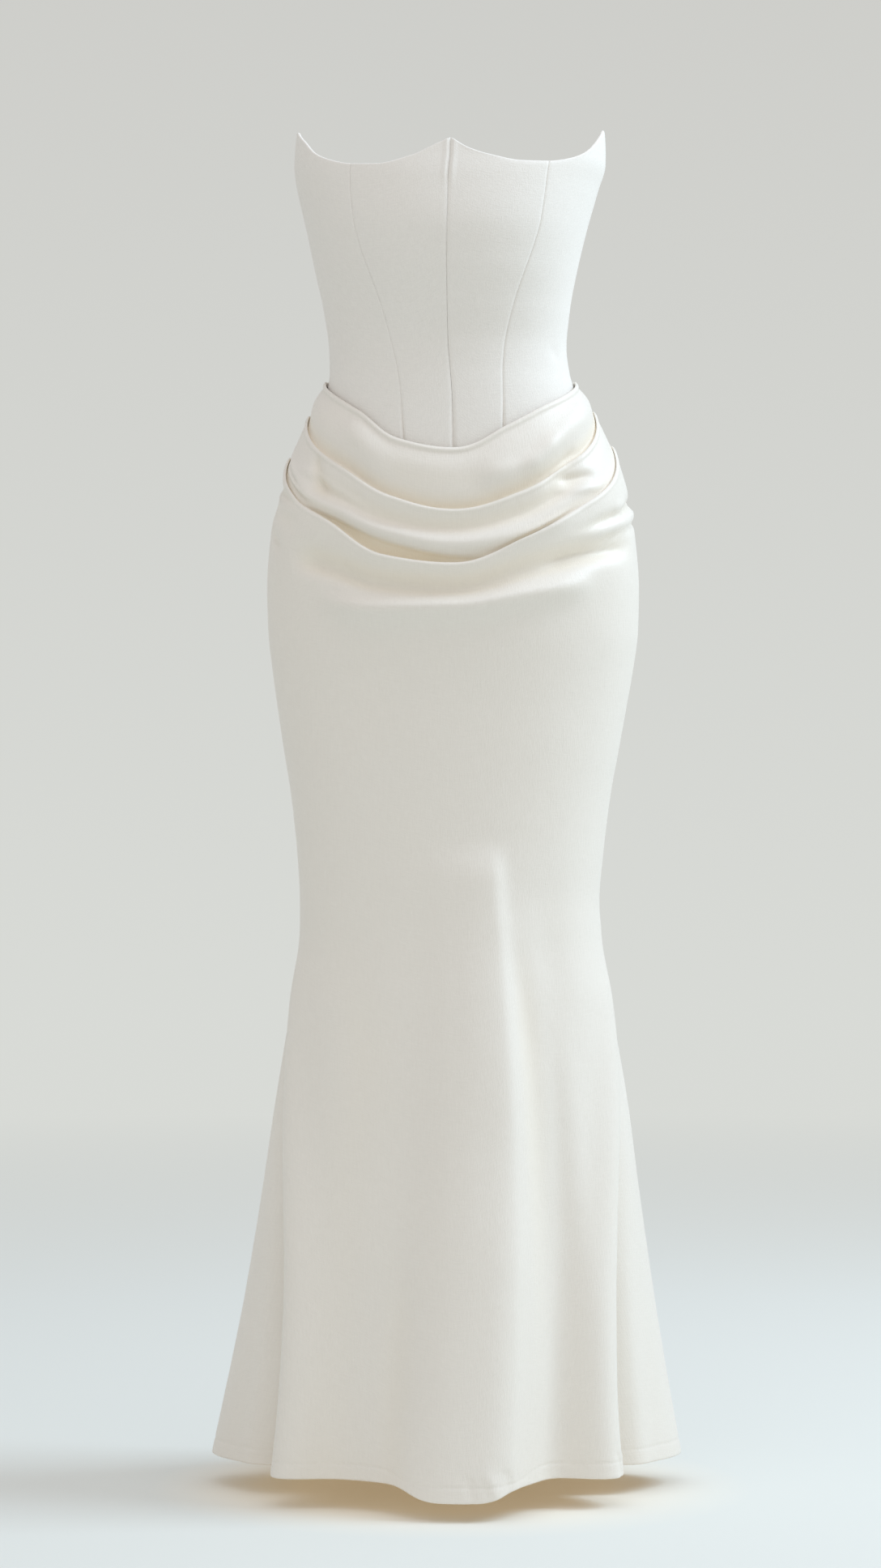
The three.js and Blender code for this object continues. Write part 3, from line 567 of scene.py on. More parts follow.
def add_node(tree, kind, settings=None, inputs=None, output=0):
    """Adds a node: its settings first, then the values or links of its sockets."""
    node = tree.nodes.new(kind)
    for name, value in (settings or {}).items():
        if name == "stops":
            ramp = node.color_ramp.elements
            while len(ramp) < len(value):
                ramp.new(1)
            for element, (place, colour) in zip(ramp, value):
                element.position, element.color = place, (*colour, 1)
        else:
            setattr(node, name, value)
    for key, value in (inputs or {}).items():
        socket = node.inputs[key] if isinstance(key, int) else find_socket(node.inputs, key)
        if isinstance(value, Field):
            tree.links.new(value.socket, socket)
        else:
            socket.default_value = (*value, 1) if socket.type == "RGBA" and len(value) == 3 else value
    socket = node.outputs[output] if isinstance(output, int) else find_socket(node.outputs, output)
    return Field(tree, socket)


def find_socket(sockets, key):
    return next(s for s in sockets if s.identifier == key or s.name == key)


def mix_colours(tree, share, first, second):
    inputs = dict(Factor_Float=share, A_Color=first, B_Color=second)
    return add_node(tree, "ShaderNodeMix", dict(data_type="RGBA"), inputs, "Result_Color")


def noise(tree, vector, scale, detail=2.0, roughness=0.5):
    inputs = dict(Vector=vector, Scale=scale, Detail=detail, Roughness=roughness)
    return add_node(tree, "ShaderNodeTexNoise", None, inputs, "Fac")


def stretched(tree, vector, scale):
    settings = dict(operation="MULTIPLY")
    return add_node(tree, "ShaderNodeVectorMath", settings, {0: vector, 1: scale}, "Vector")


def weave(tree, cloth, across, down, detail=2.0, roughness=0.6):
    """Noise drawn out along a cloth: about how many grains to a metre across it and down it."""
    return noise(tree, stretched(tree, cloth, (across, down, 1)), 1.0, detail, roughness)


def bump(tree, height, distance, strength=1.0, normal=None):
    inputs = dict(Height=height, Distance=distance, Strength=strength)
    if normal is not None:
        inputs["Normal"] = normal
    return add_node(tree, "ShaderNodeBump", None, inputs, "Normal")


def new_material(name):
    material = bpy.data.materials.new(name)
    material.use_nodes = True
    tree = material.node_tree
    tree.nodes.clear()
    return material, tree


def close_material(tree, inputs):
    shader = add_node(tree, "ShaderNodeBsdfPrincipled", None, inputs, "BSDF")
    node = tree.nodes.new("ShaderNodeOutputMaterial")
    tree.links.new(shader.socket, node.inputs["Surface"])


def crepe_material(light, shade, thread_shade):
    """Matte crepe: a pebbled surface over a fine plain weave."""
    material, tree = new_material("bodice_crepe_cloth")
    cloth = add_node(tree, "ShaderNodeUVMap", dict(uv_map="cloth"), None, "UV")
    place = add_node(tree, "ShaderNodeTexCoord", None, None, "Object")
    pebbles = weave(tree, cloth, 900, 620)
    threads = weave(tree, cloth, 110, 780)
    cross = weave(tree, cloth, 780, 110)
    clouds = noise(tree, place, 9.0, 3.0, 0.55)
    colour = mix_colours(tree, clouds, light, shade)
    grain = (threads + cross) * 0.5
    colour = mix_colours(tree, grain * 0.9, colour, thread_shade)
    close_material(tree, {
        "Base Color": colour,
        "Roughness": 0.74 + 0.12 * pebbles,
        "Normal": bump(tree, pebbles * 0.4 + grain * 0.6, 0.0011, 0.55),
        "Sheen Weight": 0.18,
        "Sheen Roughness": 0.45,
        "Specular IOR Level": 0.32,
    })
    return material


def satin_material(light, shade, thread_shade, painted_shade_colour):
    """Satin-back crepe: long floating warp threads that run down the cloth, with painted shade, a warmer
    colour, in its tucks, its pocket and its crease troughs.
    """
    material, tree = new_material("skirt_satin_cloth")
    cloth = add_node(tree, "ShaderNodeUVMap", dict(uv_map="cloth"), None, "UV")
    place = add_node(tree, "ShaderNodeTexCoord", None, None, "Object")
    floats = weave(tree, cloth, 1500, 170, roughness=0.5)
    slubs = weave(tree, cloth, 640, 60)
    weft = weave(tree, cloth, 80, 720)
    drift = noise(tree, place, 6.0, 3.0, 0.5)
    handle = noise(tree, place, 38.0, 2.0, 0.45)
    grain = floats * 0.2 + slubs * 0.4 + weft * 0.4
    colour = mix_colours(tree, drift, light, shade)
    colour = mix_colours(tree, grain * 0.8, colour, thread_shade)
    # Painted shade: the 'tuck' attribute mixes in a warmer colour where the cloth is tucked behind a lip, in
    # the pocket and in crease troughs
    tuck = add_node(tree, "ShaderNodeAttribute", dict(attribute_name="tuck"), None, "Fac")
    colour = mix_colours(tree, tuck, colour, painted_shade_colour)
    fine = bump(tree, floats * 0.45 + slubs * 0.3 + weft * 0.25, 0.0010, 0.55)
    close_material(tree, {
        "Base Color": colour,
        "Roughness": 0.37 + 0.10 * floats,
        "Normal": bump(tree, handle, 0.0022, 0.16, fine),
        "Sheen Weight": 0.10,
        "Sheen Roughness": 0.4,
        "Specular IOR Level": 0.45,
    })
    return material


def tape_material():
    """Woven zip tape: ribs across it over a finer ground."""
    material, tree = new_material("zip_tape_weave")
    cloth = add_node(tree, "ShaderNodeUVMap", dict(uv_map="cloth"), None, "UV")
    ribs = weave(tree, cloth, 500, 3400, detail=1.0, roughness=0.5)
    ground = weave(tree, cloth, 2800, 900, roughness=0.5)
    woven = ribs * 0.6 + ground * 0.4
    close_material(tree, {
        "Base Color": mix_colours(tree, woven, (0.80, 0.77, 0.70), (0.68, 0.65, 0.58)),
        "Roughness": 0.8 + 0.1 * ground,
        "Normal": bump(tree, woven, 0.0003, 0.6),
    })
    return material


def lacquer_material():
    """Ivory lacquer over die-cast metal, a little worn and pitted."""
    material, tree = new_material("zip_lacquer")
    place = add_node(tree, "ShaderNodeTexCoord", None, None, "Object")
    wear = noise(tree, place, 900.0, 4.0, 0.6)
    pits = noise(tree, place, 2600.0, 2.0)
    worn = add_node(tree, "ShaderNodeValToRGB", dict(stops=[(0.60, (0, 0, 0)), (0.72, (1, 1, 1))]),
                    {0: wear}, "Color")
    colour = mix_colours(tree, worn, (0.80, 0.77, 0.70), (0.62, 0.60, 0.56))
    close_material(tree, {
        "Base Color": colour,
        "Metallic": wear * 0.25,
        "Roughness": 0.28 + 0.22 * wear,
        "Normal": bump(tree, pits, 0.00008, 0.4),
        "Coat Weight": 0.35,
    })
    return material


def nylon_material():
    """Nylon of the zip's coil: milky and a little glossy."""
    material, tree = new_material("zip_nylon")
    place = add_node(tree, "ShaderNodeTexCoord", None, None, "Object")
    cloudy = noise(tree, place, 700.0, 2.0)
    close_material(tree, {
        "Base Color": mix_colours(tree, cloudy, (0.82, 0.80, 0.74), (0.72, 0.69, 0.62)),
        "Roughness": 0.3 + 0.2 * cloudy,
        "Normal": bump(tree, cloudy, 0.00005, 0.3),
    })
    return material


def thread_material():
    """Twisted sewing thread."""
    material, tree = new_material("sewing_thread")
    place = add_node(tree, "ShaderNodeTexCoord", None, None, "Object")
    twist = noise(tree, place, 5200.0, 1.0)
    close_material(tree, {
        "Base Color": mix_colours(tree, twist, (0.86, 0.84, 0.78), (0.76, 0.73, 0.66)),
        "Roughness": 0.5 + 0.2 * twist,
        "Normal": bump(tree, twist, 0.00006, 0.5),
    })
    return material


crepe = crepe_material(light=(0.945, 0.906, 0.856), shade=(0.908, 0.864, 0.810),
                       thread_shade=(0.775, 0.740, 0.695))
# The satin's last colour is painted shade, laid into its tucks, pocket and crease troughs
satin = satin_material(light=(0.928, 0.882, 0.818), shade=(0.898, 0.848, 0.778),
                       thread_shade=(0.775, 0.728, 0.662), painted_shade_colour=(0.960, 0.870, 0.715))
tape_weave = tape_material()
lacquer = lacquer_material()
thread = thread_material()
nylon = nylon_material()


def cloth_piece(name, points, thick, material, tuck=None):
    """A closed shell of cloth about a grid of points in its middle. Rows run down, columns with the turn."""
    rows, cols = points.shape[:2]
    u = np.zeros((rows, cols))
    v = np.zeros((rows, cols))
    u[:, 1:] = np.cumsum(np.linalg.norm(np.diff(points, axis=1), axis=2), axis=1)
    u -= u[:, cols // 2][:, None]
    v[1:] = np.cumsum(np.linalg.norm(np.diff(points, axis=0), axis=2), axis=0)
    i, j = np.meshgrid(np.arange(rows - 1), np.arange(cols - 1), indexing="ij")
    corner = (i * cols + j).ravel()
    faces = np.stack([corner, corner + cols, corner + cols + 1, corner + 1], 1)
    mesh = bpy.data.meshes.new(name)
    mesh.from_pydata((points.reshape(-1, 3) * MM).tolist(), [], faces.tolist())
    uv = mesh.uv_layers.new(name="cloth")
    flat = np.stack([u.ravel(), v.ravel()], 1)[faces.ravel()] * MM
    uv.data.foreach_set("uv", flat.ravel().astype(np.float32))
    # The painted shade of the tucks, pocket and crease troughs, kept as the point attribute 'tuck'
    if tuck is not None:
        depth = mesh.attributes.new("tuck", "FLOAT", "POINT")
        depth.data.foreach_set("value", tuck.ravel().astype(np.float32))
    mesh.materials.append(material)
    mesh.shade_smooth()
    piece = bpy.data.objects.new(name, mesh)
    bpy.context.scene.collection.objects.link(piece)
    shell = piece.modifiers.new("thickness", "SOLIDIFY")
    shell.thickness = thick * MM
    shell.offset = 0
    return piece


# A cut that fills this share of its width times its length is a rectangle
RECTANGLE_SHARE = 0.98


def cut_size(points):
    """Widest, longest and area of a grid of cloth, in metres and square metres."""
    across = np.linalg.norm(np.diff(points, axis=1), axis=2)
    down = np.linalg.norm(np.diff(points, axis=0), axis=2)
    one = np.cross(points[1:, :-1] - points[:-1, :-1], points[:-1, 1:] - points[:-1, :-1])
    two = np.cross(points[:-1, 1:] - points[1:, 1:], points[1:, :-1] - points[1:, 1:])
    area = (np.linalg.norm(one, axis=2).sum() + np.linalg.norm(two, axis=2).sum()) / 2
    return across.sum(1).max() * MM, down.sum(0).max() * MM, area * MM * MM


def finish_cloth(piece, points, node):
    width, length, area = cut_size(points)
    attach(piece, "dress")
    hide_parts(node)
    is_rectangle = area / (width * length) > RECTANGLE_SHARE


# A turned edge: the radius of its round, and the rows of its round and of the cloth turned inside
TURN_ROUND = 1.1
ROUND_ROWS = 7
TURNED_ROWS = 5
# A panel's turns depend on its heights and its heights on its turns: rounds in which both settle
SETTLING_ROUNDS = 14


def turned_edge(depth):
    """Rows from the end of a turned edge inside, up and over the edge: how far below it, and how far in."""
    rows = [(mix(depth, TURN_ROUND, s), 2 * TURN_ROUND) for s in np.linspace(0, 1, TURNED_ROWS)]
    for angle in steps_to(np.pi, ROUND_ROWS):
        rows.append((TURN_ROUND * (1 - np.sin(angle)), TURN_ROUND * (1 + np.cos(angle))))
    return rows


# Bodice: how deep its top edge is turned inside, the crepe pinched up on both sides of the centre seam
# near its top, and the depth by which seams open near their foot
TOP_TURN = 12
BODICE_ROWS = 77
CENTRE_PINCH = dict(full=30, length=48, place=2.3, breadth=1.1, rise=0.9)
SEAM_OPENS = dict(top=-38, foot=-80, depth=1.3)


def bodice_grid(first_seam, last_seam, width, count):
    """Points of a bodice panel between two seams, from its turned edge inside to its foot."""
    share = seam_spaced(width, count)
    rows = [(0, drop, inward) for drop, inward in turned_edge(TOP_TURN)]
    rows += [(s, TURN_ROUND * (1 - s), 0) for s in steps_to(1, BODICE_ROWS)]
    level, drop, inward = (np.array(c)[:, None] for c in zip(*rows))
    z = np.zeros((len(rows), len(share)))
    for _ in range(SETTLING_ROUNDS):
        turn = mix(first_seam(z), last_seam(z), share[None, :])
        z = mix(top_edge(turn), bodice_foot(turn), level) - drop - CREPE_THICK / 2 * (1 - level)
    to_first = (turn - first_seam(z)) * np.radians(half_width(z))
    to_last = (last_seam(z) - turn) * np.radians(half_width(z))
    opened = SEAM_OPENS["depth"] * (1 - smooth(z, SEAM_OPENS["foot"], SEAM_OPENS["top"]))
    out = -CREPE_THICK / 2 - inward
    out = out - seam_dip(to_first, SEAM_DIP + opened) - seam_dip(to_last, SEAM_DIP + opened)
    relief = crease_relief(turn, z, BODICE_CREASES) + ripples(turn, z, CREPE_RIPPLE)
    out = out + relief * (inward == 0)
    pinch = bell((np.abs(along(turn, z)) - CENTRE_PINCH["place"]) / CENTRE_PINCH["breadth"])
    pinch = pinch * (1 - smooth(top_edge(turn) - z, CENTRE_PINCH["full"], CENTRE_PINCH["length"]))
    return body_point(turn, z, out + CENTRE_PINCH["rise"] * pinch)


# The centre back parts by this much on each side round the zip's slider, above these distances below
# the top edge
ZIP_PARTING = 1.15
ZIP_CLOSED_BELOW = 26
ZIP_OPEN_ABOVE = 15


def seam_gap(z):
    """Half of the gap at a seam, in degrees."""
    return as_turn(SEAM_GAP / 2, z)


def zip_parting(z):
    """Half of the gap at the centre back, in degrees: wider round the zip's slider."""
    top = TOP_EDGE["left"][-1]
    opened = smooth(z, top - ZIP_CLOSED_BELOW, top - ZIP_OPEN_ABOVE)
    return as_turn(mix(SEAM_GAP / 2, ZIP_PARTING, opened), z)


# The panels from the front to the back: their seams, their width, and the columns between their seams
BODICE_PANELS = records("name first last width count", [
    ("bodice_front", seam_gap, lambda z: front_seam(z) - seam_gap(z), 80, 26),
    ("bodice_side_front", lambda z: front_seam(z) + seam_gap(z),
     lambda z: SIDE_SEAM_TURN - seam_gap(z), 130, 46),
    ("bodice_side_back", lambda z: SIDE_SEAM_TURN + seam_gap(z),
     lambda z: back_seam(z) - seam_gap(z), 100, 26),
    ("bodice_back", lambda z: back_seam(z) + seam_gap(z),
     lambda z: 180 - zip_parting(z), 75, 20),
])


def make_bodice():
    """The eight panels, the right ones with their seams on the other side. Returns their points."""
    grids = {}
    for panel in BODICE_PANELS:
        first, last = panel["first"], panel["last"]
        sides = {
            "left": (first, last),
            "right": (lambda z, last=last: -last(z), lambda z, first=first: -first(z)),
        }
        for side, seams in sides.items():
            node = f"{panel['name']}_{side}"
            points = bodice_grid(*seams, panel["width"], panel["count"])
            piece = cloth_piece(node + "_crepe", points, CREPE_THICK, crepe)
            finish_cloth(piece, points, node)
            grids[node] = points
    return grids


# Front skirt and its drape: the width of its cloth, its columns, and the rows of each stretch
FRONT_WIDTH = 440
FRONT_COLUMNS = 138
TIER_ROWS = 26
SKIRT_ROWS = 96
HEM_ROWS = 20
# How far above the hem the closer rows begin, how deep the hem is turned up, and the line this draws
HEM_ROWS_FROM = 22
HEM_TURN = 16
HEM_LINE = dict(above=13.5, breadth=1.4, depth=0.5)
# Beside the drape the front keeps to the back panel's form at the side seams
SEAM_HOLD = dict(share=0.97, breadth=6.5, proud=0.1, fade=90)
# The side seam on the wearer's right stands open a little at one height
SEAM_SLIT = dict(z=-932, length=24, breadth=3.0, depth=8)
# Painted shade: sunken cloth is coloured warmer, by its depth and up to a share
CREASE_PAINTED_SHADE = dict(depth=22, most=0.3)
# The front's edges below the knee: where the roll stands, its half breadth and its rise, how deep and how
# wide the cloth dips beside the seam, and the heights between which both grow
EDGE_ROLL = dict(place=5.2, breadth=3.2, rise=2.8, dip=3.0, soft=1.6, start=-490, full=-590)


def middle_share(turn):
    """1 at the centre front, 0 at the sides."""
    return np.cos(np.radians(np.minimum(90, np.abs(turn)))) ** 2


def lip_out(lip, turn):
    """How far a lip stands off the body."""
    return mix(lip["side"], lip["middle"], middle_share(turn))


def layer_step(turn):
    """From the middle of one layer of a lip's cloth to the next: closer at the sides."""
    return mix(SIDE_LAYER_STEP, LAYER_STEP, middle_share(turn))


def pocket_depth(turn):
    """How far the second tier sinks behind the third lip."""
    return POCKET["depth"] * bell((turn - POCKET["turn"]) / POCKET["breadth"])


pocket_edge = smooth_curve(STATIONS, POCKET_FOLD["heights"])


def pocket_step(turn, z):
    """How far into the deep pocket a height is, from 0 above it to 1 inside."""
    opens = smooth(turn, POCKET_FOLD["start"], POCKET_FOLD["full"])
    opens = opens * (1 - smooth(turn, POCKET_FOLD["wide"], POCKET_FOLD["end"]))
    return opens * smooth(pocket_edge(turn) - z, 0, POCKET_FOLD["sinks"])


class Profile:
    """Control points down every column of the front skirt, with the rows that lead to each."""

    def __init__(self, turn):
        self.turn = turn
        self.points = []
        self.steps = []

    # `tuck` carries the painted shade, a warmer colour, at each control point
    def add(self, z, out, soft=0.0, steps=2, tuck=0.0):
        flat = np.broadcast_arrays(np.asarray(z, float), out, soft, tuck, self.turn)[:4]
        self.points.append([np.array(value) for value in flat])
        self.steps.append(steps)

    def row(self, z, out, soft=1.0, tuck=0.0):
        """A control point that has only its own row."""
        self.add(z, out, soft, 1, tuck)

    def tier(self, shape, z, out, pocket=0):
        """One tier between two lips: it swells below the upper lip and sinks behind the next."""
        start_z, start_out, start_soft = self.points[-1][:3]
        middle = middle_share(self.turn) ** TIER_SHAPE["middle"]
        out = out - shape["hollow"] * middle
        bulge = shape["bulge"] * mix(TIER_SHAPE["side"], 1, middle)
        power = np.log(0.5) / np.log(shape["peak"])
        for s in steps_to(1, TIER_ROWS):
            soft = mix(start_soft, 1, smooth(s, 0, TIER_SHAPE["soft_in"]))
            soft = soft * (1 - smooth(s, TIER_SHAPE["soft_out"], 1))
            swell = bulge * np.sin(np.pi * s ** power) ** TIER_SHAPE["power"]
            level = mix(start_z, z, s)
            sunk = pocket_step(self.turn, level) * pocket
            # Painted shade: warmer towards the next lip and inside the deep pocket
            tuck = shape["warmth"] * smooth(s, TIER_SHAPE["painted_shade_from"], 1) + TIER_SHAPE["pocket"] * sunk
            self.row(level, mix(start_out, out, s) + swell - POCKET_FOLD["depth"] * sunk, soft, tuck)

    def tuck(self, lip, pocket):
        """Down behind a lip, up again and over its edge."""
        z, out = lip["height"](self.turn), lip_out(lip, self.turn)
        foot = z - TUCK_DEPTH
        step = layer_step(self.turn)
        behind = out - 2 * step
        # The cloth hidden behind the lip gets the full painted shade
        self.add(mix(z, foot, TUCK["level"]), behind - pocket * TUCK["pocket"], 1, 3, 1)
        self.add(foot + LIP_ROUND, behind, 1, 3, 1)
        self.add(foot, out - 1.5 * step, 1, 2, 1)
        self.add(foot + LIP_ROUND, out - step, 1, 2, 1)
        self.over_edge(z, out, 1, TUCK["edge_painted_shade"])

    def over_edge(self, z, out, soft, tuck):
        """Up to a lip's edge, over it, and down its outside past the rim."""
        step = layer_step(self.turn)
        self.add(z - LIP_ROUND, out - step, soft, 3, tuck)
        self.add(z, out - step / 2, soft, 4)
        self.add(z - LIP_ROUND, out + RIM["rise"], soft, 4)
        self.add(z - RIM["dip_at"], out - RIM["dip"], soft, 3)


def front_profile(turn):
    """The front skirt from its rolled top edge, through the drape, to the hem turned up inside."""
    upper, second, third = LIPS
    profile = Profile(turn)
    foot = bodice_foot(np.clip(turn, -FRONT_END_TURN, FRONT_END_TURN))
    middle = -CAD_BODICE_WALL / 2
    for down, out in WAIST_ROLL:
        profile.add(foot - down, middle + out)
    step = layer_step(turn)
    upper_z, upper_out = upper["height"](turn), lip_out(upper, turn)
    profile.add(mix(foot, upper_z, 0.5), upper_out - step, 0, 3)
    profile.over_edge(upper_z, upper_out, 0, 0)
    behind = 2 * step
    profile.tier(TIERS[0], second["height"](turn), lip_out(second, turn) - behind)
    profile.tuck(second, 0)
    pocket = pocket_depth(turn)
    profile.tier(TIERS[1], third["height"](turn), lip_out(third, turn) - behind - pocket, pocket=1)
    profile.tuck(third, pocket)
    start_z, start_out = profile.points[-1][:2]
    for s in steps_to(1, FADE["rows"]) ** FADE["spacing"]:
        profile.row(mix(start_z, DRAPE_END_Z, s), start_out * (1 - s) ** FADE["power"])
    hem = hem_edge(turn) + TURN_ROUND
    for s in steps_to(1, SKIRT_ROWS):
        profile.row(mix(DRAPE_END_Z, hem + HEM_ROWS_FROM, s), 0)
    for s in steps_to(1, HEM_ROWS):
        profile.row(mix(hem + HEM_ROWS_FROM, hem, s), 0)
    for angle in steps_to(np.pi, ROUND_ROWS):
        profile.row(hem - TURN_ROUND * np.sin(angle), -TURN_ROUND * (1 - np.cos(angle)))
    for s in steps_to(1, TURNED_ROWS):
        profile.row(mix(hem, hem + HEM_TURN, s), -2 * TURN_ROUND)
    return profile


def edge_roll(from_seam, z):
    """Below the knee the front panel's edges roll forward beside the sunken side seams."""
    roll = EDGE_ROLL
    shape = roll["rise"] * bell((from_seam - roll["place"]) / roll["breadth"])
    shape = shape - roll["dip"] * bell(from_seam / roll["soft"])
    return shape * smooth(-z, -roll["start"], -roll["full"])


def hem_line(turn, z):
    """The line that the hem's turn-up draws on the outside."""
    above = z - hem_edge(turn) - HEM_LINE["above"]
    return HEM_LINE["depth"] * bell(above / HEM_LINE["breadth"])


def seam_slit(turn, z, from_seam):
    """How far the front panel's edge sinks where the side seam stands open."""
    slit = bell(from_seam / SEAM_SLIT["breadth"]) * bell((z - SEAM_SLIT["z"]) / SEAM_SLIT["length"])
    return SEAM_SLIT["depth"] * slit * (turn < 0)


def held_at_seam(out, z, from_seam):
    """Brings every layer of the drape to the back panel's form beside the side seams."""
    share = SEAM_HOLD["share"] * bell(from_seam / SEAM_HOLD["breadth"])
    share = share * smooth(z, DRAPE_END_Z, DRAPE_END_Z + SEAM_HOLD["fade"])
    return mix(out, side_ease(z) + back_folds(SIDE_SEAM_TURN, z) + SEAM_HOLD["proud"], share)


def front_skirt_points():
    """Points of the front skirt, and the painted shade, a warmer colour, of the cloth at each."""
    share = seam_spaced(FRONT_WIDTH, FRONT_COLUMNS) * 2 - 1
    profile = front_profile(share * (SIDE_SEAM_TURN - seam_gap(0)))
    control = [np.array(values) for values in zip(*profile.points)]
    z, out, soft, tuck = down_columns(control, profile.steps[1:])
    turn = share[None, :] * (side_seam(z) - seam_gap(z))
    from_seam = np.radians(side_seam(z) - np.abs(turn)) * half_width(z)
    relief = soft_folds(turn, z) + crease_relief(turn, z, FRONT_CREASES) + curved_relief(turn, z)
    relief = relief + ripples(turn, z, SATIN_RIPPLE)
    out = out + soft * relief + hem_folds(turn, z) - seam_dip(from_seam)
    out = out + edge_roll(from_seam, z) - hem_line(turn, z) - seam_slit(turn, z, from_seam)
    out = held_at_seam(out, z, from_seam)
    # Painted shade in the troughs of the creases
    tuck = tuck + soft * np.clip(-relief / CREASE_PAINTED_SHADE["depth"], 0, CREASE_PAINTED_SHADE["most"])
    return body_point(turn, z, out), np.clip(tuck, 0, 1)


# Back skirt: the width of each panel, its columns, and its rows from the waist to the drape's end
BACK_WIDTH = 260
BACK_COLUMNS = 62
BACK_TOP_ROWS = 56


def back_skirt_points(side):
    """Points of a back panel, on the wearer's left for a `side` of 1 and on the right for -1."""
    share = seam_spaced(BACK_WIDTH, BACK_COLUMNS)[None, :]
    stretches = {
        "waist": np.linspace(0, 1, BACK_TOP_ROWS)[:, None],
        "skirt": steps_to(1, SKIRT_ROWS)[:, None],
        "hem": steps_to(1, HEM_ROWS)[:, None],
        "round": steps_to(np.pi, ROUND_ROWS)[:, None],
        "turned": steps_to(1, TURNED_ROWS)[:, None],
    }

    def heights(turn):
        """Heights of the rows, each stretch worked out from the turns of its own rows."""
        ends = np.cumsum([len(rows) for rows in stretches.values()])[:-1]
        at = dict(zip(stretches, np.split(turn, ends)))
        hem = {name: hem_edge(side * turns) + TURN_ROUND for name, turns in at.items()}
        waist = waist_line(at["waist"]) - SEAM_GAP
        return np.concatenate([
            mix(waist, DRAPE_END_Z, stretches["waist"]),
            mix(DRAPE_END_Z, hem["skirt"] + HEM_ROWS_FROM, stretches["skirt"]),
            mix(hem["hem"] + HEM_ROWS_FROM, hem["hem"], stretches["hem"]),
            hem["round"] - TURN_ROUND * np.sin(stretches["round"]),
            hem["turned"] + HEM_TURN * stretches["turned"],
        ])

    z = np.full((sum(len(rows) for rows in stretches.values()), share.shape[1]), HEM_Z / 2)
    for _ in range(SETTLING_ROUNDS):
        seam = np.minimum(side_seam(z), SIDE_SEAM_TURN) + seam_gap(z)
        turn = mix(seam, 180 - seam_gap(z), share)
        z = heights(turn)
    inward = np.concatenate([
        np.zeros((len(z) - ROUND_ROWS - TURNED_ROWS, 1)),
        TURN_ROUND * (1 - np.cos(stretches["round"])),
        np.full((TURNED_ROWS, 1), 2 * TURN_ROUND),
    ])
    easing = 1 - smooth(-z, -DRAPE_END_Z, -KNEE_Z)
    beside = side_ease(z) * (1 - smooth(turn, SIDE_SEAM_TURN, EASE_END_TURN)) - CAD_SKIRT_WALL / 2
    out = beside * easing - inward + hem_folds(side * turn, z) + back_folds(turn, z)
    out = out + crease_relief(side * turn, z, BACK_CREASES) + ripples(side * turn, z, SATIN_RIPPLE)
    radius = half_width(z)
    out = out - seam_dip(np.radians(turn - seam) * radius) - seam_dip(np.radians(180 - turn) * radius)
    out = out - seam_dip(waist_line(turn) - z) - hem_line(side * turn, z)
    points = body_point(side * turn, z, out)
    return points if side > 0 else points[:, ::-1]


def back_folds(turn, z):
    """How far the folds that the drape pulls across the back stand out."""
    out = 0
    for fold in BACK_FOLDS:
        share = np.clip((turn - SIDE_SEAM_TURN) / fold["reach"], 0, 1)
        line = fold["z"] - fold["fall"] * share * (2 - share)
        fading = 1 - smooth(share, BACK_FOLD_FADE, 1)
        out = out + fold["rise"] * fading * bell((z - line) / fold["breadth"])
    return out


def make_skirt():
    """The three panels. Returns their points."""
    # `tuck` is the front's painted shade, a warmer colour in its tucks, pocket and crease troughs
    front, tuck = front_skirt_points()
    grids = {"skirt_front": front}
    grids["skirt_back_left"] = back_skirt_points(1)
    grids["skirt_back_right"] = back_skirt_points(-1)
    for node, points in grids.items():
        piece = cloth_piece(node + "_satin", points, SATIN_THICK, satin, tuck if points is front else None)
        finish_cloth(piece, points, node)
    return grids


# Zip: its foot, the tapes' breadth in degrees, how far below the top edge and how far inside the dress
# they run, and their rows and columns
ZIP_FOOT_Z = -190
TAPE_WIDTH_TURN = 9.5
TAPE_BELOW_EDGE = 2
TAPE_IN = 2.85
TAPE_ROWS = 130
TAPE_COLUMNS = 10
# The slider and pull tab are cast: doubled points are merged, and edges rounded
CAST = dict(merged=0.02, rounded=0.18, segments=2)


def zip_tape_points(side):
    """Points of a tape, on the wearer's left for a `side` of 1 and on the right for -1."""
    z = np.linspace(TOP_EDGE["left"][-1] - TAPE_BELOW_EDGE, ZIP_FOOT_Z, TAPE_ROWS)[:, None]
    share = np.linspace(0, 1, TAPE_COLUMNS)[None, :]
    turn = 180 - zip_parting(z) - TAPE_WIDTH_TURN * (1 - share)
    points = body_point(side * turn, z, -TAPE_IN + 0 * share)
    return points if side > 0 else points[:, ::-1]


def cast_piece(node, body):
    """A copy of a node with its edges rounded, finished in lacquer."""
    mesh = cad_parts[node].data.copy()
    mesh.materials.clear()
    mesh.materials.append(lacquer)
    piece = bpy.data.objects.new(node + "_cast", mesh)
    bpy.context.scene.collection.objects.link(piece)
    weld = piece.modifiers.new("weld", "WELD")
    weld.merge_threshold = CAST["merged"] * MM
    soften = piece.modifiers.new("edges", "BEVEL")
    soften.width = CAST["rounded"] * MM
    soften.segments = CAST["segments"]
    soften.limit_method = "ANGLE"
    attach(piece, body)
    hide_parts(node)


def make_zip():
    """The tapes, the slider and the pull tab. Returns the tapes' points."""
    grids = {}
    for side, name in ((1, "left"), (-1, "right")):
        node = "zip_tape_" + name
        points = zip_tape_points(side)
        piece = cloth_piece(node + "_weave", points, TAPE_THICK, tape_weave)
        finish_cloth(piece, points, node)
        grids[node] = points
    cast_piece("zip_slider", "dress")
    cast_piece("zip_pull_tab", "zip_tab")
    return grids


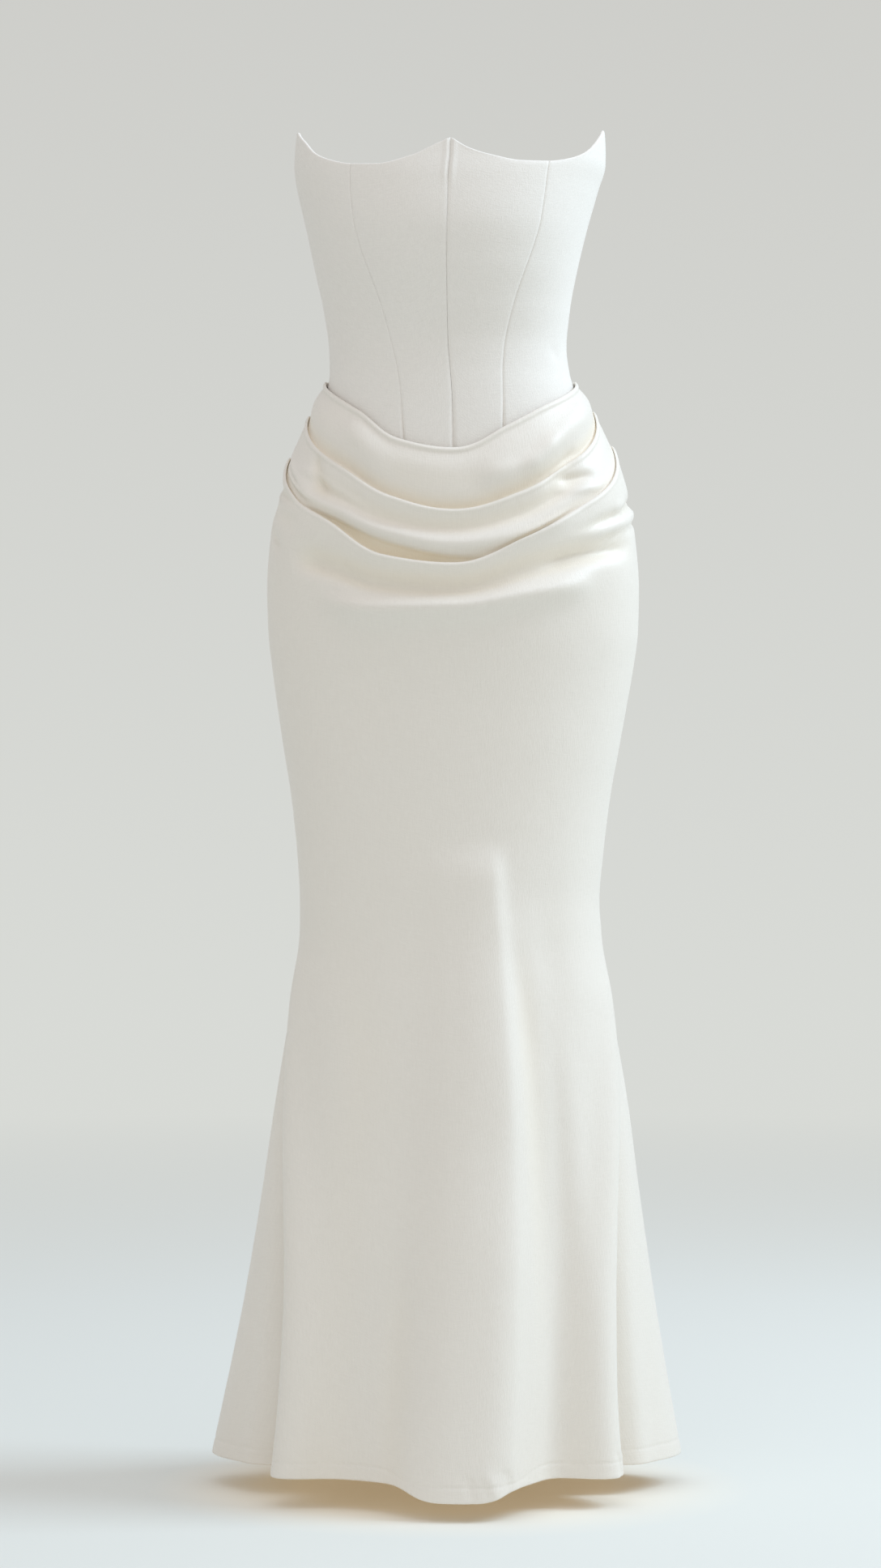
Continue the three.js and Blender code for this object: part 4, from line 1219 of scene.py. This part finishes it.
# What repeats along a path: stitches and the zip's coil, set out by geometry nodes
STITCH = dict(spacing=3.4, length=2.5, radius=0.24)
HEM_STITCH = dict(spacing=8.4, length=1.8, radius=0.2)
COIL = dict(spacing=1.35, radius=0.85, wire=0.24)
# Faces round a stitch and along it, round a turn of the coil and round its wire
STITCH_SIDES = 8
STITCH_RINGS = 5
COIL_SIDES = 9
WIRE_SIDES = 5
# No two stitches or turns are quite the same size
UNEVEN = dict(least=0.88, most=1.1, seed=7)


def stitch_shape(tree, inputs):
    """One stitch: a plump bead of thread as long as it is asked to be."""
    bead = add_node(tree, "GeometryNodeMeshUVSphere", None,
                    {"Segments": STITCH_SIDES, "Rings": STITCH_RINGS, "Radius": 1.0}, "Mesh")
    half = inputs["Length"] * 0.5
    size = add_node(tree, "ShaderNodeCombineXYZ", None,
                    {"X": half, "Y": inputs["Radius"], "Z": inputs["Radius"]}, "Vector")
    return bead, size


def coil_shape(tree, inputs):
    """One turn of the zip's coil, standing across the path."""
    ring = add_node(tree, "GeometryNodeCurvePrimitiveCircle", None,
                    {"Resolution": COIL_SIDES, "Radius": inputs["Radius"]}, "Curve")
    wire = add_node(tree, "GeometryNodeCurvePrimitiveCircle", None,
                    {"Resolution": WIRE_SIDES, "Radius": inputs["Wire"]}, "Curve")
    turn = add_node(tree, "GeometryNodeCurveToMesh", None, {"Curve": ring, "Profile Curve": wire}, "Mesh")
    across = add_node(tree, "GeometryNodeTransform", None,
                      {"Geometry": turn, "Rotation": (0, np.pi / 2, 0)}, "Geometry")
    size = add_node(tree, "ShaderNodeCombineXYZ", None, {"X": 1.0, "Y": 1.0, "Z": 1.0}, "Vector")
    return across, size


def run_tree(name, sizes, shape):
    """A tree that sets one shape again and again along paths, turned with them and facing outwards."""
    tree = bpy.data.node_groups.new(name, "GeometryNodeTree")
    tree.interface.new_socket("Path", in_out="INPUT", socket_type="NodeSocketGeometry")
    for size in ("Spacing", "Lift", *sizes):
        tree.interface.new_socket(size, in_out="INPUT", socket_type="NodeSocketFloat")
    tree.interface.new_socket("Finish", in_out="INPUT", socket_type="NodeSocketMaterial")
    tree.interface.new_socket("Run", in_out="OUTPUT", socket_type="NodeSocketGeometry")
    entry = tree.nodes.new("NodeGroupInput")
    inputs = {socket.name: Field(tree, socket) for socket in entry.outputs if socket.name}
    path = add_node(tree, "GeometryNodeMeshToCurve", None, {"Mesh": inputs["Path"]}, "Curve")
    path = add_node(tree, "GeometryNodeResampleCurve", dict(mode="LENGTH"),
                    {"Curve": path, "Length": inputs["Spacing"]}, "Curve")
    facing = add_node(tree, "GeometryNodeInputNamedAttribute", dict(data_type="FLOAT_VECTOR"),
                      {"Name": "facing"}, "Attribute")
    lifted = add_node(tree, "ShaderNodeVectorMath", dict(operation="SCALE"),
                      {0: facing, "Scale": inputs["Lift"]}, "Vector")
    path = add_node(tree, "GeometryNodeSetPosition", None, {"Geometry": path, "Offset": lifted}, "Geometry")
    tangent = add_node(tree, "GeometryNodeInputTangent", None, None, "Tangent")
    turned = add_node(tree, "FunctionNodeAxesToRotation", dict(primary_axis="X", secondary_axis="Z"),
                      {"Primary Axis": tangent, "Secondary Axis": facing}, "Rotation")
    solid, size = shape(tree, inputs)
    limits = {"Min_001": UNEVEN["least"], "Max_001": UNEVEN["most"], "Seed": UNEVEN["seed"]}
    uneven = add_node(tree, "FunctionNodeRandomValue", dict(data_type="FLOAT"), limits, "Value_001")
    size = add_node(tree, "ShaderNodeVectorMath", dict(operation="SCALE"),
                    {0: size, "Scale": uneven}, "Vector")
    run = add_node(tree, "GeometryNodeInstanceOnPoints", None,
                   {"Points": path, "Instance": solid, "Rotation": turned, "Scale": size}, "Instances")
    run = add_node(tree, "GeometryNodeRealizeInstances", None, {"Geometry": run}, "Geometry")
    run = add_node(tree, "GeometryNodeSetShadeSmooth", None, {"Geometry": run}, "Geometry")
    run = add_node(tree, "GeometryNodeSetMaterial", None,
                   {"Geometry": run, "Material": inputs["Finish"]}, "Geometry")
    leave = tree.nodes.new("NodeGroupOutput")
    tree.links.new(run.socket, leave.inputs["Run"])
    return tree


def laid_along(name, tree, paths, sizes, finish):
    """Runs a tree along paths and keeps the result as one plain mesh. Sizes are in millimetres."""
    places, facings, edges = [], [], []
    for points, facing in paths:
        first = len(places)
        places += (points * MM).tolist()
        facings += facing.tolist()
        edges += [(first + k, first + k + 1) for k in range(len(points) - 1)]
    mesh = bpy.data.meshes.new(name + "_path")
    mesh.from_pydata(places, edges, [])
    outward = mesh.attributes.new("facing", "FLOAT_VECTOR", "POINT")
    outward.data.foreach_set("vector", np.array(facings, np.float32).ravel())
    carrier = bpy.data.objects.new(name + "_path", mesh)
    bpy.context.scene.collection.objects.link(carrier)
    modifier = carrier.modifiers.new("run", "NODES")
    modifier.node_group = tree
    values = {size: value * MM for size, value in sizes.items()} | {"Finish": finish}
    for item in tree.interface.items_tree:
        if item.in_out == "INPUT" and item.name in values:
            modifier[item.identifier] = values[item.name]
    graph = bpy.context.evaluated_depsgraph_get()
    result = bpy.data.meshes.new_from_object(carrier.evaluated_get(graph))
    bpy.data.objects.remove(carrier)
    piece = bpy.data.objects.new(name, result)
    bpy.context.scene.collection.objects.link(piece)
    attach(piece, "dress")


def facing_of(grid):
    """The direction out of the dress at every point of a grid."""
    across = np.gradient(grid, axis=1)
    down = np.gradient(grid, axis=0)
    normal = np.cross(down, across)
    return normal / np.maximum(np.linalg.norm(normal, axis=2), 1e-9)[..., None]


def row_path(grid, row, inside=False):
    """A path along a row, short of the seams, and its facing: out of the dress, or into it."""
    keep = slice(PATH_TRIM, -PATH_TRIM)
    return grid[row, keep], facing_of(grid)[row, keep] * (-1 if inside else 1)


def column_path(grid, column, rows):
    """A path down a column, facing into the dress."""
    return grid[rows, column], -facing_of(grid)[rows, column]


# Where the runs of stitches lie: points left out at each end, and rows and columns of the panels' points
PATH_TRIM = 2
HEM_STITCH_ROW = -24
TOP_STITCH_ROW = 2
TAPE_STITCH_COLUMNS = (2, 7)


def make_stitches():
    """Sewing along the hem, round the inside of the top edge, and down the zip's tapes."""
    stitches = run_tree("stitch_run", ("Length", "Radius"), stitch_shape)

    def sewn(name, paths, sizes, lift):
        sizes = dict(Spacing=sizes["spacing"], Length=sizes["length"], Radius=sizes["radius"], Lift=lift)
        laid_along(name, stitches, paths, sizes, thread)

    hems = [row_path(grid, HEM_STITCH_ROW) for grid in skirt.values()]
    sewn("hem_stitches", hems, HEM_STITCH, SATIN_THICK / 2)
    tops = [row_path(grid, TOP_STITCH_ROW, inside=True) for grid in bodice.values()]
    sewn("top_edge_stitches", tops, STITCH, CREPE_THICK / 2)
    tapes = [column_path(grid, column if side > 0 else -1 - column, slice(1, -1))
             for side, grid in zip((1, -1), zip_grids.values()) for column in TAPE_STITCH_COLUMNS]
    sewn("zip_stitches", tapes, STITCH, TAPE_THICK / 2)


# The coil starts at this row of the tapes and stands this far off them
COIL_FROM_ROW = 8
COIL_IN = 1.15


def make_coil():
    """The zip's coil, half of it on the edge of each tape."""
    coils = run_tree("coil_run", ("Radius", "Wire"), coil_shape)
    edges = [column_path(grid, -1 if side > 0 else 0, slice(COIL_FROM_ROW, -2))
             for side, grid in zip((1, -1), zip_grids.values())]
    sizes = dict(Spacing=COIL["spacing"], Radius=COIL["radius"], Wire=COIL["wire"], Lift=COIL_IN)
    laid_along("zip_coil", coils, edges, sizes, nylon)


# Camera: its place, and how much of the dress's plane fits from the top to the bottom of the view
CAMERA_X = -9.46
CAMERA_Z = -399.7
CAMERA_DISTANCE = 4000
SENSOR = 36
FRAME_TALL = 1466
# How far the camera sees, in metres
CLIP_END = 50

# Light, in metres and watts
AIR = dict(colour=(0.975, 0.965, 1.0, 1), strength=0.60)
SOFTBOXES = records("name place target size power colour", [
    ("key_softbox", (2.6, 0.0, 2.0), (0, 0, -0.35), (1.5, 2.0), 85, (0.69, 0.855, 1.0)),
    ("top_softbox", (0.2, -1.7, 3.3), (0, 0, -0.4), (3.4, 3.0), 30, (0.97, 0.97, 1.0)),
])

# Backdrop, in metres: its floor's level, the rings of its floor, its bend and its wall
FLOOR_Z = -1.056
SWEEP = dict(rings=(0.6, 3.0, 7.5), bend=1.5, bend_rows=23, wall_top=4.5, sides=96)
# Colour of the sweep's paper from its middle outwards, and its own light there: a painted pool of warm
# light under the dress, standing in for light through the cloth, and bright far off, where no lamp reaches.
# The wall's light fades a little upwards, a painted shade. Places are shares of the way from the middle to
# the wall.
SWEEP_PAPER = [(0.0, (0.68, 0.70, 0.67)), (0.17, (0.68, 0.70, 0.67)), (0.5, (0, 0, 0))]
SWEEP_GLOW = [(0.0, (0.26, 0.185, 0.10)), (0.017, (0.26, 0.185, 0.10)), (0.030, (0.10, 0.102, 0.10)),
              (0.17, (0.10, 0.102, 0.10)), (0.5, (0.69, 0.705, 0.675))]
SWEEP_FADE = dict(tall=3.6, top=(0.88, 0.86, 0.86))


def make_camera():
    data = bpy.data.cameras.new("camera")
    data.sensor_width = SENSOR
    data.lens = SENSOR * CAMERA_DISTANCE / FRAME_TALL
    data.clip_end = CLIP_END
    camera = bpy.data.objects.new("camera", data)
    camera.location = (CAMERA_X * MM, -CAMERA_DISTANCE * MM, CAMERA_Z * MM)
    camera.rotation_euler = (np.pi / 2, 0, 0)
    bpy.context.scene.collection.objects.link(camera)
    bpy.context.scene.camera = camera


def area_light(name, place, target, size, power, colour):
    data = bpy.data.lights.new(name, "AREA")
    data.shape = "RECTANGLE"
    data.size, data.size_y = size
    data.energy = power
    data.color = colour
    light = bpy.data.objects.new(name, data)
    light.location = place
    light.rotation_euler = (Vector(target) - Vector(place)).to_track_quat("-Z", "Y").to_euler()
    bpy.context.scene.collection.objects.link(light)


def make_light():
    world = bpy.data.worlds.new("studio_air")
    bpy.context.scene.world = world
    world.use_nodes = True
    air = world.node_tree.nodes["Background"]
    air.inputs["Color"].default_value = AIR["colour"]
    air.inputs["Strength"].default_value = AIR["strength"]
    bpy.context.scene.view_settings.view_transform = "Standard"
    for softbox in SOFTBOXES:
        area_light(**softbox)


def sweep_material(wall_radius):
    """Matte paper with painted light of its own: a warm pool under the dress, and an even glow far off that
    fades a little upwards.
    """
    material, tree = new_material("sweep_paper")
    place = add_node(tree, "ShaderNodeTexCoord", None, None, "Object")
    height = add_node(tree, "ShaderNodeSeparateXYZ", None, {0: place}, "Z")
    away = add_node(tree, "ShaderNodeVectorMath", dict(operation="LENGTH"),
                    {0: stretched(tree, place, (1, 1, 0))}, "Value")
    away = away / wall_radius
    paper = add_node(tree, "ShaderNodeValToRGB", dict(stops=SWEEP_PAPER), {0: away}, "Color")
    # Painted light: a warm pool on the floor under the dress, then an even glow far off
    glow = add_node(tree, "ShaderNodeValToRGB", dict(stops=SWEEP_GLOW), {0: away}, "Color")
    fade = mix_colours(tree, (height - FLOOR_Z) / SWEEP_FADE["tall"], (1, 1, 1), SWEEP_FADE["top"])
    glow = add_node(tree, "ShaderNodeVectorMath", dict(operation="MULTIPLY"), {0: glow, 1: fade}, "Vector")
    close_material(tree, {
        "Base Color": paper,
        "Roughness": 0.9,
        "Specular IOR Level": 0.0,
        "Emission Color": glow,
        "Emission Strength": 1.0,
    })
    return material


def make_backdrop():
    """A seamless sweep all round: a wide floor that bends up into a wall far from the dress."""
    floor_end, bend, sides = SWEEP["rings"][-1], SWEEP["bend"], SWEEP["sides"]
    profile = [(radius, FLOOR_Z) for radius in SWEEP["rings"]]
    for angle in steps_to(np.pi / 2, SWEEP["bend_rows"]):
        profile.append((floor_end + bend * np.sin(angle), FLOOR_Z + bend * (1 - np.cos(angle))))
    profile.append((floor_end + bend, SWEEP["wall_top"]))
    turns = np.linspace(0, 2 * np.pi, sides, endpoint=False)
    verts = [(radius * np.cos(t), radius * np.sin(t), z) for radius, z in profile for t in turns]
    faces = [list(range(sides))]
    for k in range(len(profile) - 1):
        here, above = k * sides, (k + 1) * sides
        for j in range(sides):
            after = (j + 1) % sides
            faces.append((above + j, above + after, here + after, here + j))
    mesh = bpy.data.meshes.new("studio_sweep")
    mesh.from_pydata(verts, [], faces)
    mesh.shade_smooth()
    mesh.materials.append(sweep_material(floor_end + bend))
    sweep = bpy.data.objects.new("studio_sweep", mesh)
    bpy.context.scene.collection.objects.link(sweep)


make_camera()
make_light()
make_backdrop()
bodice = make_bodice()
skirt = make_skirt()
zip_grids = make_zip()
make_stitches()
make_coil()
